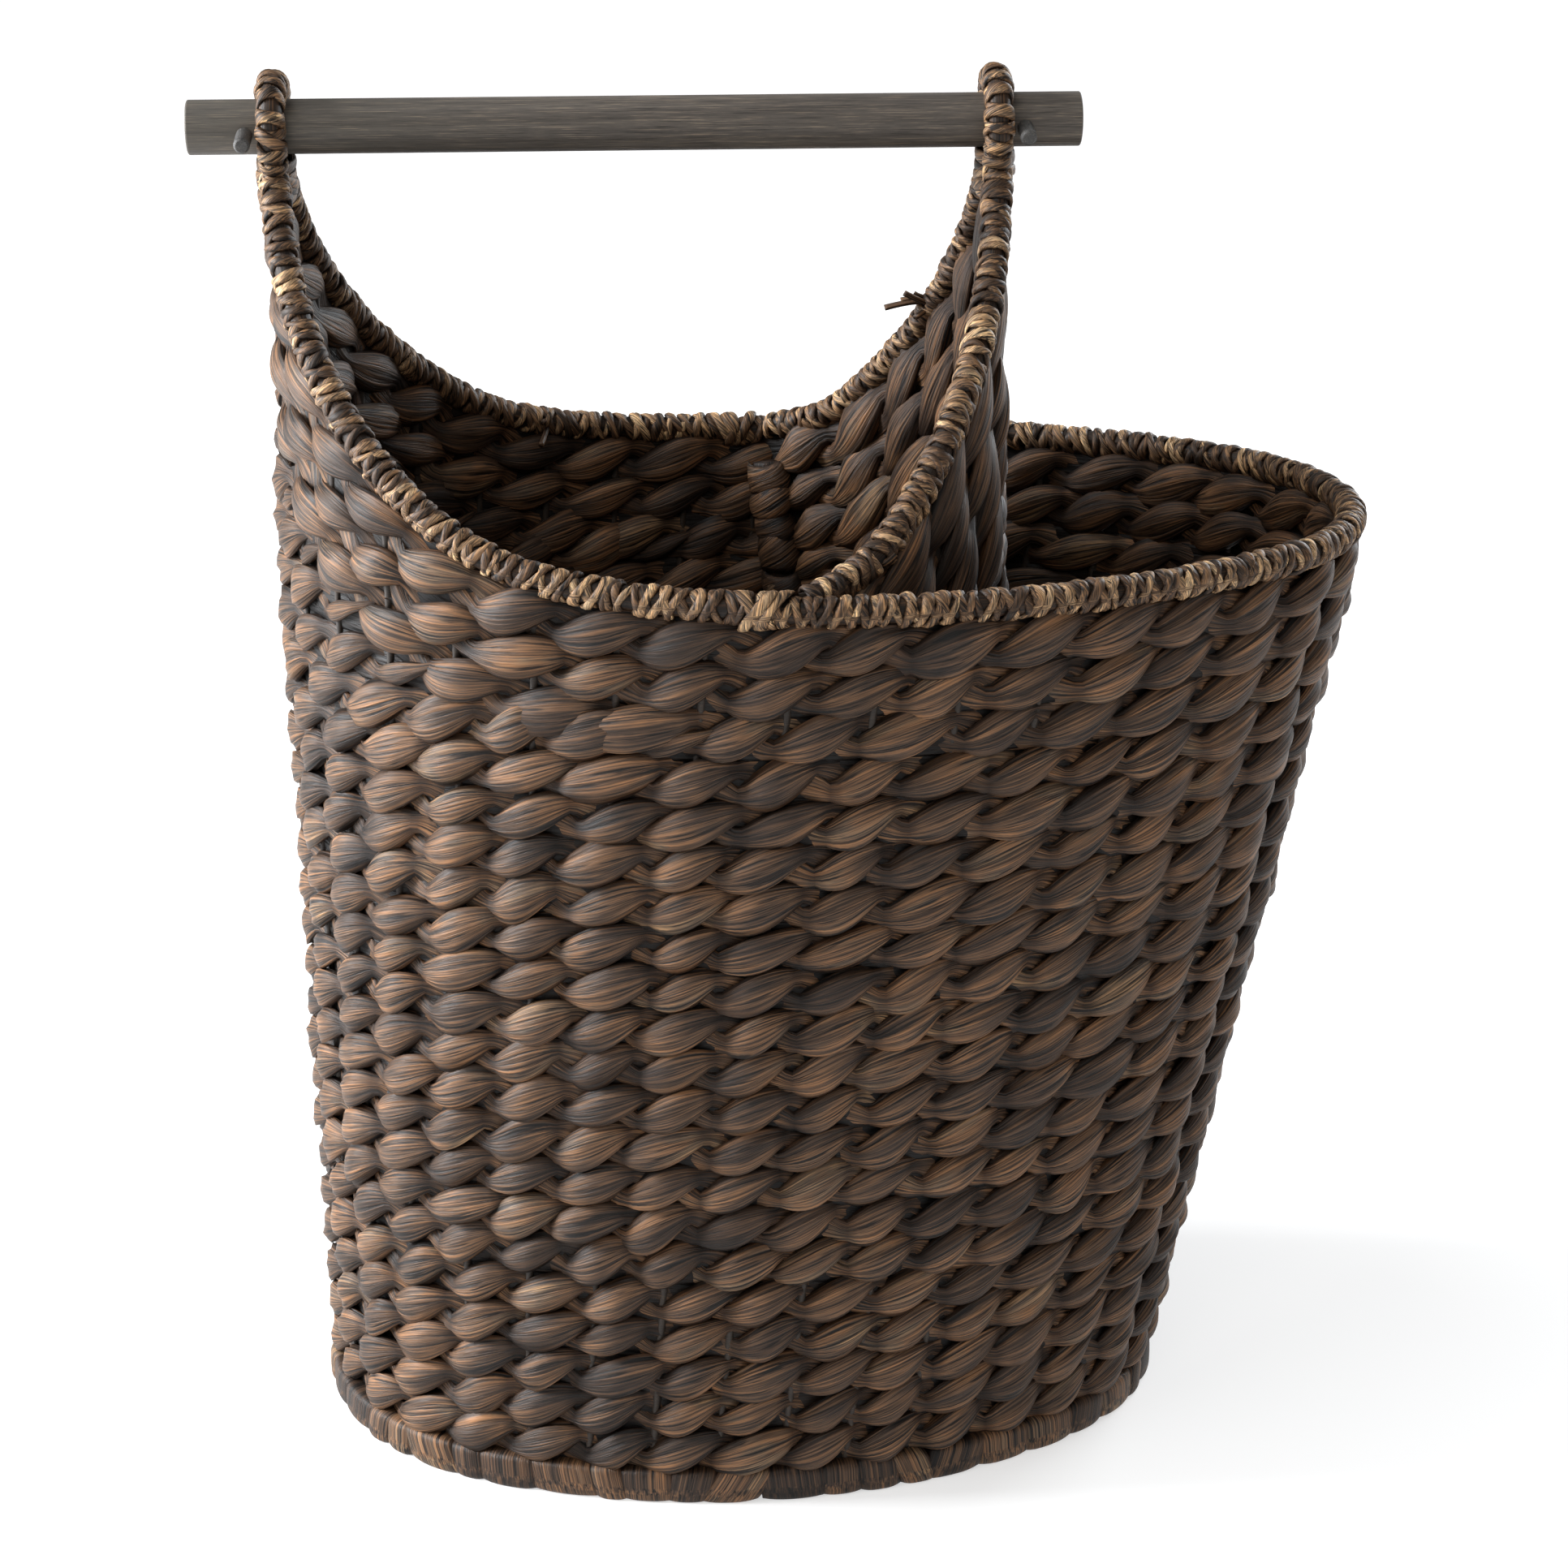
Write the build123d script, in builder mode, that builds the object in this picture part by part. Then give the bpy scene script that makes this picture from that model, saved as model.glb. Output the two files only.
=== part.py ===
"""Oval basket of twined fibre with a curved divider and a turning wooden handle bar.

The origin is the middle of the base, on the surface the basket stands on. +X runs
along the handle bar towards the low side pocket, +Y towards the back, +Z up.
Every size is in millimetres.
"""
from build123d import *
import os
from math import atan2, cos, degrees, radians, sin, sqrt, tan

os.makedirs("parts", exist_ok=True)

# Body outline, measured over the outside of the weave
base_length = 335.0         # foot of the wall, along X
rim_length = 416.5          # top of the wall, along X
rim_width = 304.0           # top of the wall, along Y
rim_shift = 34.25           # how far the top leans towards +X over the foot
left_end_radius = 138.0     # blunter end, under the left handle loop
right_end_radius = 118.0    # end of the side pocket
rim_height = 358.0          # middle of the low rim wrap
wall_thickness = 13.0       # one twined course, front to back

# Foot and floor
base_ring_height = 13.0
base_hoop_diameter = 5.0
floor_thickness = 7.0
floor_lift = 3.5            # floor underside above the standing surface

# Weave
course_count = 21
course_gap = 0.3            # between neighbouring courses
course_round = 4.0          # rounding of a course's long edges
stake_diameter = 3.2
wall_stake_count = 36
divider_stake_count = 7

# Rims
rim_wrap = 11.0             # width and height of the wrapped rim
rim_core = 4.0              # rod inside the wrap
fit_gap = 0.1               # clearance round a core or hoop inside its wrap

# Divider: an upright wall, round in plan
divider_radius = 165.0
loop_spacing = 265.5        # between the two handle loops, along X

# Horns: the two peaks that carry the handle
horn_height = 484.0         # where the rims meet under the bar
horn_half_width = 13.0      # rim middle at that height
scoop_half_width = 133.0    # where the sloping rim would reach the low rim height
scoop_radius = 60.0         # easing of the slope into the low rim

# Handle
bar_diameter = 20.0
bar_height = 506.0
bar_overhang = 21.5         # bar end beyond the middle of its peg
bar_edge = 0.8              # softened edges of the bar and pegs
peg_diameter = 6.0
peg_reach = 22.0            # peg tip from the bar's axis
peg_offset = 10.2           # peg middle from the loop middle, along X
peg_tilt = radians(11.0)    # front end of each peg points down by this much
loop_diameter = 10.0
loop_clearance = 0.3        # between the bar and its loop
lashing_bottom = 482.0
lashing_gap = 1.5           # between the bar and the top of the lashing
lashing_half_width = 17.0
lashing_half_depth = 6.7
lashing_seat = 4.0          # weave stops this far under a lashing
pinch_half_width = 8.5      # loop legs at their closest, under the bar
leg_bend = 6.0              # radius of the bends in the loop legs, over half a loop's channel
tie_length = 10.0           # junction ties, along the rim
tie_thickness = 1.6
tie_gap = 2.0               # between a tie and the divider's rim

# Worked out from the sizes above
foot_scale = base_length / rim_length
wall_top = rim_height - rim_wrap / 2
course_pitch = (wall_top - base_ring_height) / course_count
left_loop_x = rim_shift - rim_length / 2 + wall_thickness / 2
right_loop_x = left_loop_x + loop_spacing
divider_centre_x = right_loop_x - divider_radius
inside_half_width = rim_width / 2 - wall_thickness
junction_x = divider_centre_x + sqrt(divider_radius**2 - inside_half_width**2)
rim_split_x = junction_x - rim_wrap - tie_gap - tie_length / 2
lashing_top = bar_height - bar_diameter / 2 - lashing_gap
horn_weave_top = lashing_bottom - lashing_seat
horn_weave_right = rim_split_x - tie_length / 2 - course_gap
rim_slope = atan2(horn_height - rim_height, scoop_half_width - horn_half_width)
scoop_centre_y = scoop_half_width + scoop_radius * tan(rim_slope / 2)


def oval_arcs(height, outset):
    """Centres, radii and joining angles of the wall's plan at a height."""
    scale = foot_scale + (1 - foot_scale) * height / rim_height
    shift = rim_shift * height / rim_height
    half_length = scale * rim_length / 2
    half_width = scale * rim_width / 2
    left_r = scale * left_end_radius
    right_r = scale * right_end_radius
    left_c = shift - half_length + left_r
    right_c = shift + half_length - right_r
    span = right_c - left_c
    p = half_width - left_r
    q = half_width - right_r
    # The side arcs touch both end arcs and the lines y = +-half_width
    a = 1 / p - 1 / q
    b = 2 * span / q
    c = -span * span / q - (right_r - left_r)
    from_left = 2 * c / (-b - sqrt(b * b - 4 * a * c))
    side_x = left_c + from_left
    side_r = (from_left**2 / p + left_r + half_width) / 2
    rise = side_r - half_width
    right_angle = degrees(atan2(rise, right_c - side_x))
    left_angle = degrees(atan2(rise, left_c - side_x))
    return {
        "left": (left_c, left_r + outset),
        "right": (right_c, right_r + outset),
        "side": (side_x, rise, side_r + outset),
        "angles": (right_angle, left_angle),
    }


def draw_oval(height, outset=0.0):
    """The wall's plan as four arcs; outset is outwards from the outer face."""
    arcs = oval_arcs(height, outset)
    right_angle, left_angle = arcs["angles"]
    left_c, left_r = arcs["left"]
    right_c, right_r = arcs["right"]
    side_x, rise, side_r = arcs["side"]
    sweep_side = left_angle - right_angle
    with BuildLine() as outline:
        CenterArc((right_c, 0), right_r, -right_angle, 2 * right_angle)
        CenterArc((side_x, -rise), side_r, right_angle, sweep_side)
        CenterArc((left_c, 0), left_r, left_angle, 360 - 2 * left_angle)
        CenterArc((side_x, rise), side_r, -left_angle, sweep_side)
    make_face(outline.edges())


def draw_wall_band(height, outer_inset, thickness):
    """A closed band of the wall's plan, from outer_inset inwards."""
    draw_oval(height, -outer_inset)
    with BuildSketch(mode=Mode.PRIVATE) as hollow:
        draw_oval(height, -outer_inset - thickness)
    add(hollow.sketch, mode=Mode.SUBTRACT)


def draw_divider_band(height, thickness):
    """The divider's plan: an arc between the wall's two inner faces."""
    with Locations((divider_centre_x, 0)):
        Circle(divider_radius + thickness / 2)
        Circle(divider_radius - thickness / 2, mode=Mode.SUBTRACT)
    with BuildSketch(mode=Mode.PRIVATE) as inside:
        draw_oval(height, -wall_thickness - course_gap)
    add(inside.sketch, mode=Mode.INTERSECT)


def course_levels(row, first_level):
    """Bottom and top of a course, counted from zero."""
    bottom = first_level + row * course_pitch + course_gap / 2
    return bottom, bottom + course_pitch - course_gap


def round_long_edges():
    """Round the four long edges of the course just extruded."""
    flats = faces().filter_by(Axis.Z)
    fillet(flats.edges(), course_round)


def draw_rim_line(side):
    """Middle line of the sloping rim in the YZ plane, for side = -1 or 1."""
    end = (side * rim_width, rim_height)
    foot = (side * scoop_half_width, rim_height)
    top = (side * horn_half_width, horn_height)
    FilletPolyline(top, foot, end, radius=scoop_radius)


def draw_rim_strip(side, width):
    """The sloping rim seen along X, as a strip of even width."""
    with BuildLine() as middle:
        draw_rim_line(side)
    trace(middle.line, line_width=width)


def draw_weave_below_rim():
    """All that lies under both sloping rims, seen along X."""
    for side in (-1, 1):
        with BuildLine() as outline:
            draw_rim_line(side)
            Line((side * rim_width, rim_height), (side * rim_width, 0))
            Line((side * rim_width, 0), (0, 0))
            Line((0, 0), (0, horn_height))
            Line((0, horn_height), (side * horn_half_width, horn_height))
        make_face(outline.edges())
    with BuildSketch(mode=Mode.PRIVATE) as strips:
        draw_rim_strip(-1, rim_wrap)
        draw_rim_strip(1, rim_wrap)
    add(strips.sketch, mode=Mode.SUBTRACT)
    with BuildSketch(mode=Mode.PRIVATE) as cap:
        with Locations((0, horn_weave_top)):
            Rectangle(2 * rim_width, horn_height, align=(Align.CENTER, Align.MIN))
    add(cap.sketch, mode=Mode.SUBTRACT)


def keep_below_rim():
    """Cut the part under construction to the sloping rims' underside."""
    with BuildSketch(Plane.YZ.offset(-rim_length)) as profile:
        draw_weave_below_rim()
    extrude(profile.sketch, amount=2 * rim_length, mode=Mode.INTERSECT)


def keep_left_of(limit_x):
    """Cut the part under construction at a plane across X."""
    reach = 2 * rim_length
    with BuildSketch(Plane.YZ.offset(limit_x)) as section:
        Rectangle(4 * rim_width, 4 * horn_height)
    extrude(section.sketch, amount=-reach, mode=Mode.INTERSECT)


def rim_line_height(y):
    """Height of the sloping rim's middle line at a distance y from the middle."""
    if abs(y) < scoop_centre_y - scoop_radius * sin(rim_slope):
        return horn_height - (abs(y) - horn_half_width) * tan(rim_slope)
    away = min(abs(y) - scoop_centre_y, 0)
    return rim_height + scoop_radius - sqrt(scoop_radius**2 - away**2)


def rim_underside(y):
    """Height of the weave's top edge under the sloping rim."""
    if abs(y) < scoop_centre_y - scoop_radius * sin(rim_slope):
        return rim_line_height(y) - rim_wrap / 2 / cos(rim_slope)
    return rim_line_height(y) - rim_wrap / 2


def oval_point(height, outset, fraction):
    """A point part of the way round the wall's plan, from the +X end."""
    arcs = oval_arcs(height, outset)
    right_angle, left_angle = arcs["angles"]
    left_c, left_r = arcs["left"]
    right_c, right_r = arcs["right"]
    side_x, rise, side_r = arcs["side"]
    pieces = [
        (right_c, 0, right_r, 0, right_angle),
        (side_x, -rise, side_r, right_angle, left_angle),
        (left_c, 0, left_r, left_angle, 360 - left_angle),
        (side_x, rise, side_r, 360 - left_angle, 360 - right_angle),
        (right_c, 0, right_r, 360 - right_angle, 360),
    ]
    lengths = [radians(end - start) * radius for _, _, radius, start, end in pieces]
    left_over = fraction % 1 * sum(lengths)
    for (x, y, radius, start, _), length in zip(pieces, lengths):
        if left_over <= length:
            break
        left_over -= length
    turn = radians(start) + left_over / radius
    return Vector(x + radius * cos(turn), y + radius * sin(turn), height)


def stake(start, end):
    """A straight stake between two points, added to the part under construction."""
    along = end - start
    with BuildSketch(Plane(origin=start, z_dir=along)) as section:
        Circle(stake_diameter / 2)
    extrude(section.sketch, amount=along.length)


def sloping_rim(side, width, on_divider):
    """One sloping rim strip, square in section, on the wall or on the divider."""
    with BuildPart() as strip:
        with BuildSketch(Plane.XY.offset(wall_top - rim_wrap)):
            if on_divider:
                with Locations((divider_centre_x, 0)):
                    Circle(divider_radius + width / 2)
                    Circle(divider_radius - width / 2, mode=Mode.SUBTRACT)
                with BuildSketch(mode=Mode.PRIVATE) as inside:
                    draw_oval(rim_height, -(wall_thickness + rim_wrap) / 2 - course_gap)
                add(inside.sketch, mode=Mode.INTERSECT)
            else:
                draw_wall_band(rim_height, (wall_thickness - width) / 2, width)
        extrude(amount=horn_height)
        with BuildSketch(Plane.YZ.offset(-rim_length)) as profile:
            draw_rim_strip(side, width)
        extrude(profile.sketch, amount=2 * rim_length, mode=Mode.INTERSECT)
        if not on_divider:
            keep_left_of(rim_split_x)
    return strip.part


def low_rim_band(width):
    """The level rim round the side pocket, square in section."""
    with BuildPart() as band:
        with BuildSketch(Plane.XY.offset(rim_height - width / 2)):
            draw_wall_band(rim_height, (wall_thickness - width) / 2, width)
        extrude(amount=width)
        with BuildSketch(Plane.YZ.offset(rim_split_x)) as section:
            Rectangle(4 * rim_width, 4 * horn_height)
        extrude(section.sketch, amount=2 * rim_length, mode=Mode.INTERSECT)
    return band.part


def finish(builder, label):
    """Name a finished piece and write it."""
    builder.part.label = label
    export_step(builder.part, f"parts/{label}.step")


# Base ring: a wrapped hoop that the whole basket stands on
foot_inset = wall_thickness / 2
hoop_height = base_ring_height / 2
with BuildPart() as base_hoop:
    with BuildSketch(Plane.XY.offset(hoop_height - base_hoop_diameter / 2)):
        draw_wall_band(0, foot_inset - base_hoop_diameter / 2, base_hoop_diameter)
    extrude(amount=base_hoop_diameter)
    fillet(faces().filter_by(Axis.Z).edges(), base_hoop_diameter / 2 - fit_gap)
finish(base_hoop, "base_hoop")

with BuildPart() as base_ring:
    with BuildSketch():
        draw_wall_band(0, 0, wall_thickness)
    extrude(amount=base_ring_height)
    fillet(faces().filter_by(Axis.Z).edges(), course_round / 2)
    channel = base_hoop_diameter + 2 * fit_gap
    with BuildSketch(Plane.XY.offset(hoop_height - channel / 2)):
        draw_wall_band(0, foot_inset - channel / 2, channel)
    extrude(amount=channel, mode=Mode.SUBTRACT)
finish(base_ring, "base_ring")

# Floor mat, held by its edge inside the base ring
with BuildPart() as floor_mat:
    with BuildSketch(Plane.XY.offset(floor_lift)):
        draw_oval(0, -wall_thickness)
    extrude(amount=floor_thickness)
finish(floor_mat, "floor_mat")

# Wall courses: closed twined rings, each one wider than the one below
for row in range(course_count):
    bottom, top = course_levels(row, base_ring_height)
    with BuildPart() as wall_course:
        with BuildSketch(Plane.XY.offset(bottom)):
            draw_wall_band((bottom + top) / 2, 0, wall_thickness)
        extrude(amount=top - bottom)
        round_long_edges()
    finish(wall_course, f"wall_course_{row + 1:02d}")

# Horn courses: above the low rim the wall carries on round the left end only
horn_course_count = int((horn_weave_top - wall_top) / course_pitch) + 1
rows_per_horn_node = 2
for first_row in range(0, horn_course_count, rows_per_horn_node):
    with BuildPart() as horn_course:
        for row in range(first_row, min(first_row + rows_per_horn_node, horn_course_count)):
            bottom, top = course_levels(row, wall_top)
            with BuildPart(mode=Mode.PRIVATE) as ring:
                with BuildSketch(Plane.XY.offset(bottom)):
                    draw_wall_band(rim_height, 0, wall_thickness)
                extrude(amount=top - bottom)
                round_long_edges()
                keep_left_of(horn_weave_right)
                keep_below_rim()
            add(ring.part)
    finish(horn_course, f"horn_course_{first_row // rows_per_horn_node + 1:02d}")

# Divider courses: upright, rounded towards the side pocket
rows_per_divider_node = 3
for first_row in range(0, course_count, rows_per_divider_node):
    with BuildPart() as divider_course:
        for row in range(first_row, min(first_row + rows_per_divider_node, course_count)):
            bottom, top = course_levels(row, base_ring_height)
            with BuildPart(mode=Mode.PRIVATE) as strip:
                with BuildSketch(Plane.XY.offset(bottom)):
                    draw_divider_band(bottom, wall_thickness)
                extrude(amount=top - bottom)
            add(strip.part)
    finish(divider_course, f"divider_course_{first_row // rows_per_divider_node + 1:02d}")

# Arch courses: the divider's peak, under its own sloping rims
for first_row in range(0, horn_course_count, rows_per_horn_node):
    with BuildPart() as arch_course:
        for row in range(first_row, min(first_row + rows_per_horn_node, horn_course_count)):
            bottom, top = course_levels(row, wall_top)
            with BuildPart(mode=Mode.PRIVATE) as strip:
                with BuildSketch(Plane.XY.offset(bottom)):
                    draw_divider_band(rim_height, wall_thickness)
                extrude(amount=top - bottom)
                keep_below_rim()
            add(strip.part)
    finish(arch_course, f"arch_course_{first_row // rows_per_horn_node + 1:02d}")

# Stakes: upright rods that the courses are twined round
stake_inset = wall_thickness / 2
end_gap = course_gap
with BuildPart() as wall_stakes:
    for index in range(wall_stake_count):
        fraction = (index + 0.5) / wall_stake_count
        foot = oval_point(base_ring_height + end_gap, -stake_inset, fraction)
        head = oval_point(wall_top - end_gap, -stake_inset, fraction)
        stake(foot, head)
        above = oval_point(wall_top + end_gap, -stake_inset, fraction)
        horn_end = min(rim_underside(above.Y), horn_weave_top) - stake_diameter
        if above.X < rim_split_x and horn_end > wall_top + course_pitch:
            stake(above, Vector(above.X, above.Y, horn_end))
finish(wall_stakes, "wall_stakes")

divider_half_angle = degrees(atan2(inside_half_width, junction_x - divider_centre_x))
with BuildPart() as divider_stakes:
    for index in range(divider_stake_count):
        turn = radians(divider_half_angle * (2 * (index + 1) / (divider_stake_count + 1) - 1))
        # The foot of the wall is narrower, so the outer stakes stand inside it
        turn *= foot_scale
        x = divider_centre_x + divider_radius * cos(turn)
        y = divider_radius * sin(turn)
        head = min(rim_underside(y), horn_weave_top) - stake_diameter
        stake(Vector(x, y, floor_lift + floor_thickness + end_gap), Vector(x, y, head))
finish(divider_stakes, "divider_stakes")

# Rim wraps and the rods inside them
rim_channel = rim_core + 2 * fit_gap
rim_names = {
    "left_rim_front": (-1, False),
    "left_rim_back": (1, False),
    "arch_rim_front": (-1, True),
    "arch_rim_back": (1, True),
}
for label, (side, on_divider) in rim_names.items():
    with BuildPart() as rim:
        add(sloping_rim(side, rim_wrap, on_divider))
        add(sloping_rim(side, rim_channel, on_divider), mode=Mode.SUBTRACT)
    finish(rim, label)

with BuildPart() as low_rim:
    add(low_rim_band(rim_wrap))
    add(low_rim_band(rim_channel), mode=Mode.SUBTRACT)
finish(low_rim, "low_rim")

with BuildPart() as rim_cores:
    add(low_rim_band(rim_core))
    for side, on_divider in rim_names.values():
        add(sloping_rim(side, rim_core, on_divider))
finish(rim_cores, "rim_cores")

# Handle loops: the wrapped rims carried up and over the bar
eye_radius = bar_diameter / 2 + loop_clearance + loop_diameter / 2
eye_shoulder = bar_height - loop_diameter / 2
pinch_height = horn_height + (horn_half_width - pinch_half_width) * tan(rim_slope)


def handle_loop(loop_x, diameter):
    """A loop of wrapped rod, open below where the lashing closes it."""
    with BuildPart() as loop:
        with BuildLine(Plane.YZ.offset(loop_x)) as path:
            back_leg = FilletPolyline(
                (horn_half_width, horn_height),
                (pinch_half_width, pinch_height),
                (eye_radius, eye_shoulder),
                (eye_radius, bar_height),
                radius=leg_bend,
            )
            ThreePointArc(
                (eye_radius, bar_height),
                (0, bar_height + eye_radius),
                (-eye_radius, bar_height),
            )
            mirror(back_leg, about=Plane.XZ)
        with BuildSketch(Plane(origin=back_leg @ 0, z_dir=back_leg % 0)) as section:
            Circle(diameter / 2)
        sweep(section.sketch, path=path.line)
    return loop.part


def lashing(loop_x, on_divider):
    """The binding that pinches the two rims together under the bar."""
    with BuildPart() as binding:
        with BuildSketch(Plane.XY.offset(lashing_bottom)):
            with Locations((loop_x, 0)):
                SlotOverall(2 * lashing_half_width, 2 * lashing_half_depth, rotation=90)
        extrude(amount=lashing_top - lashing_bottom)
        fillet(faces().filter_by(Axis.Z).edges(), lashing_half_depth / 3)
        add(handle_loop(loop_x, loop_diameter + 2 * fit_gap), mode=Mode.SUBTRACT)
        for side in (-1, 1):
            add(sloping_rim(side, rim_wrap, on_divider), mode=Mode.SUBTRACT)
    return binding


for label, loop_x, on_divider in (
    ("left", left_loop_x, False),
    ("right", right_loop_x, True),
):
    with BuildPart() as loop:
        add(handle_loop(loop_x, loop_diameter))
    finish(loop, f"{label}_loop")
    finish(lashing(loop_x, on_divider), f"{label}_lashing")

# Junction ties: saddles over the rim where the divider meets the wall
step_height = rim_line_height(inside_half_width + wall_thickness / 2) - rim_height
for label, side in (("front_tie", -1), ("back_tie", 1)):
    with BuildPart() as tie:
        with BuildSketch(Plane.XY.offset(wall_top + step_height + course_gap)):
            draw_wall_band(
                rim_height,
                (wall_thickness - rim_wrap) / 2 - tie_thickness,
                rim_wrap + 2 * tie_thickness,
            )
        extrude(amount=rim_wrap + tie_thickness)
        with BuildSketch(Plane.XZ) as window:
            with Locations((rim_split_x, rim_height)):
                Rectangle(tie_length, 4 * rim_wrap)
        extrude(window.sketch, amount=-side * rim_width, mode=Mode.INTERSECT)
        add(low_rim_band(rim_wrap), mode=Mode.SUBTRACT)
        add(sloping_rim(side, rim_wrap, False), mode=Mode.SUBTRACT)
    finish(tie, label)

# Handle: a turned bar with a peg through it outside each loop
bar_start = left_loop_x - peg_offset - bar_overhang
bar_end = right_loop_x + peg_offset + bar_overhang
left_peg_x = left_loop_x - peg_offset
right_peg_x = right_loop_x + peg_offset


def peg_plane(peg_x):
    """Plane across a peg's middle, facing along the peg."""
    along = (0, cos(peg_tilt), sin(peg_tilt))
    return Plane(origin=(peg_x, 0, bar_height), x_dir=(1, 0, 0), z_dir=along)


with BuildPart() as handle_bar:
    with BuildSketch(Plane.YZ.offset(bar_start)):
        with Locations((0, bar_height)):
            Circle(bar_diameter / 2)
    extrude(amount=bar_end - bar_start)
    fillet(faces().filter_by(Axis.X).edges(), bar_edge)
    for peg_x in (left_peg_x, right_peg_x):
        with BuildSketch(peg_plane(peg_x)):
            Circle(peg_diameter / 2)
        extrude(amount=bar_diameter, both=True, mode=Mode.SUBTRACT)
finish(handle_bar, "handle_bar")

for label, peg_x in (("left_peg", left_peg_x), ("right_peg", right_peg_x)):
    with BuildPart() as peg:
        with BuildSketch(peg_plane(peg_x)):
            Circle(peg_diameter / 2)
        extrude(amount=peg_reach, both=True)
        chamfer(faces().filter_by(GeomType.PLANE).edges(), bar_edge)
    finish(peg, label)
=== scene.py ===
# Twined plant-stalk basket with a curved divider and a turning bar handle.
# Metres, same frame as the CAD: +X along the bar, +Y to the back, +Z up.
from math import atan2, cos, pi, radians, sin, sqrt, tan

import bpy
import numpy as np
from mathutils import Matrix, Vector


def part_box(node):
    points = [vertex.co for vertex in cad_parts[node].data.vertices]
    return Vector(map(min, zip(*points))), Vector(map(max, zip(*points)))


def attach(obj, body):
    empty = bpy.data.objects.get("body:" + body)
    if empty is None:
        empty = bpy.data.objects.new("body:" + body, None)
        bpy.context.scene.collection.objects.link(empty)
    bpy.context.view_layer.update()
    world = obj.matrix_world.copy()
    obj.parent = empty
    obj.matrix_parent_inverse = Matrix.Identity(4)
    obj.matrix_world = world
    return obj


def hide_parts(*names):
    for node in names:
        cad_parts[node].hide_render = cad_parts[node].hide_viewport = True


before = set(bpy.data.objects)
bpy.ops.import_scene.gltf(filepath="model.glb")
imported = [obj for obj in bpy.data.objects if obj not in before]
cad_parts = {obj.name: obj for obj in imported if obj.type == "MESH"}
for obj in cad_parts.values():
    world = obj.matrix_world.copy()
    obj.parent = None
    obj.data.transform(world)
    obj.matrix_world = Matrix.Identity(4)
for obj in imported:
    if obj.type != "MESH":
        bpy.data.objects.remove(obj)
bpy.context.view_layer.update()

mm = 0.001

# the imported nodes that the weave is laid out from
ringLow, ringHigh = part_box("base_ring")
rimLow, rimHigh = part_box("low_rim")
barLow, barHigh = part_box("handle_bar")
leftLoopLow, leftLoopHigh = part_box("left_loop")
rightLoopLow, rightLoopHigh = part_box("right_loop")
matLow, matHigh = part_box("floor_mat")
tieLow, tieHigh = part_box("front_tie")

body = {
    "leftEndRadius": 138 * mm,      # plan radii at the rim
    "rightEndRadius": 118 * mm,
    "wall": 13 * mm,                # thickness of one twined course
    "courses": 21,
    "stakes": 36,                   # twists per course
    "rimWrap": 11 * mm,
    "dividerRadius": 165 * mm,
    "hornHeight": 484 * mm,         # where the sloping rims meet
    "hornHalfWidth": 13 * mm,
    "scoopHalfWidth": 133 * mm,
    "scoopRadius": 60 * mm,
    "peakRound": 9 * mm,            # rounding of the courses' line under a peak
    "firstRow": 0.46,               # share of the rim's height that hides the first course
    "peakThinning": 0.32,           # share of its thickness a course loses at the peaks
    "thinningRise": 70 * mm,        # height above the rim over which it is lost
    "rowLap": 0.45,                 # share of a course that may be tucked behind the next
}

rimHeight = (rimLow.z + rimHigh.z) / 2
footLength = ringHigh.x - ringLow.x
wallTop = rimLow.z
courseFoot = ringHigh.z
coursePitch = (wallTop - courseFoot) / body["courses"]
halfWall = body["wall"] / 2
halfWidth = rimHigh.y + (body["wall"] - body["rimWrap"]) / 2
rightEnd = rimHigh.x + (body["wall"] - body["rimWrap"]) / 2
leftLoopX = (leftLoopLow.x + leftLoopHigh.x) / 2
rightLoopX = (rightLoopLow.x + rightLoopHigh.x) / 2
leftEnd = leftLoopX - halfWall
rimShift = (rightEnd + leftEnd) / 2
rimLength = rightEnd - leftEnd
footScale = footLength / rimLength
dividerX = rightLoopX - body["dividerRadius"]
barZ = (barLow.z + barHigh.z) / 2
splitX = (tieLow.x + tieHigh.x) / 2
rimSlope = atan2(body["hornHeight"] - rimHeight, body["scoopHalfWidth"] - body["hornHalfWidth"])
scoopY = body["scoopHalfWidth"] + body["scoopRadius"] * tan(rimSlope / 2)


def ovalPieces():
    # the plan at the rim as five arcs, counter-clockwise from the +X end
    halfLength = rimLength / 2
    leftR, rightR = body["leftEndRadius"], body["rightEndRadius"]
    leftC, rightC = leftR - halfLength, halfLength - rightR
    span = rightC - leftC
    p, q = halfWidth - leftR, halfWidth - rightR
    a, b = 1 / p - 1 / q, 2 * span / q
    c = -span * span / q - (rightR - leftR)
    fromLeft = 2 * c / (-b - sqrt(b * b - 4 * a * c))
    sideX = leftC + fromLeft
    sideR = (fromLeft ** 2 / p + leftR + halfWidth) / 2
    rise = sideR - halfWidth
    rightTurn = atan2(rise, rightC - sideX)
    leftTurn = atan2(rise, leftC - sideX)
    return [
        (rightC, 0, rightR, 0, rightTurn),
        (sideX, -rise, sideR, rightTurn, leftTurn),
        (leftC, 0, leftR, leftTurn, 2 * pi - leftTurn),
        (sideX, rise, sideR, 2 * pi - leftTurn, 2 * pi - rightTurn),
        (rightC, 0, rightR, 2 * pi - rightTurn, 2 * pi),
    ]


planPieces = ovalPieces()
planLengths = np.array([(end - start) * r for _, _, r, start, end in planPieces])
planTotal = planLengths.sum()


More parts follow.
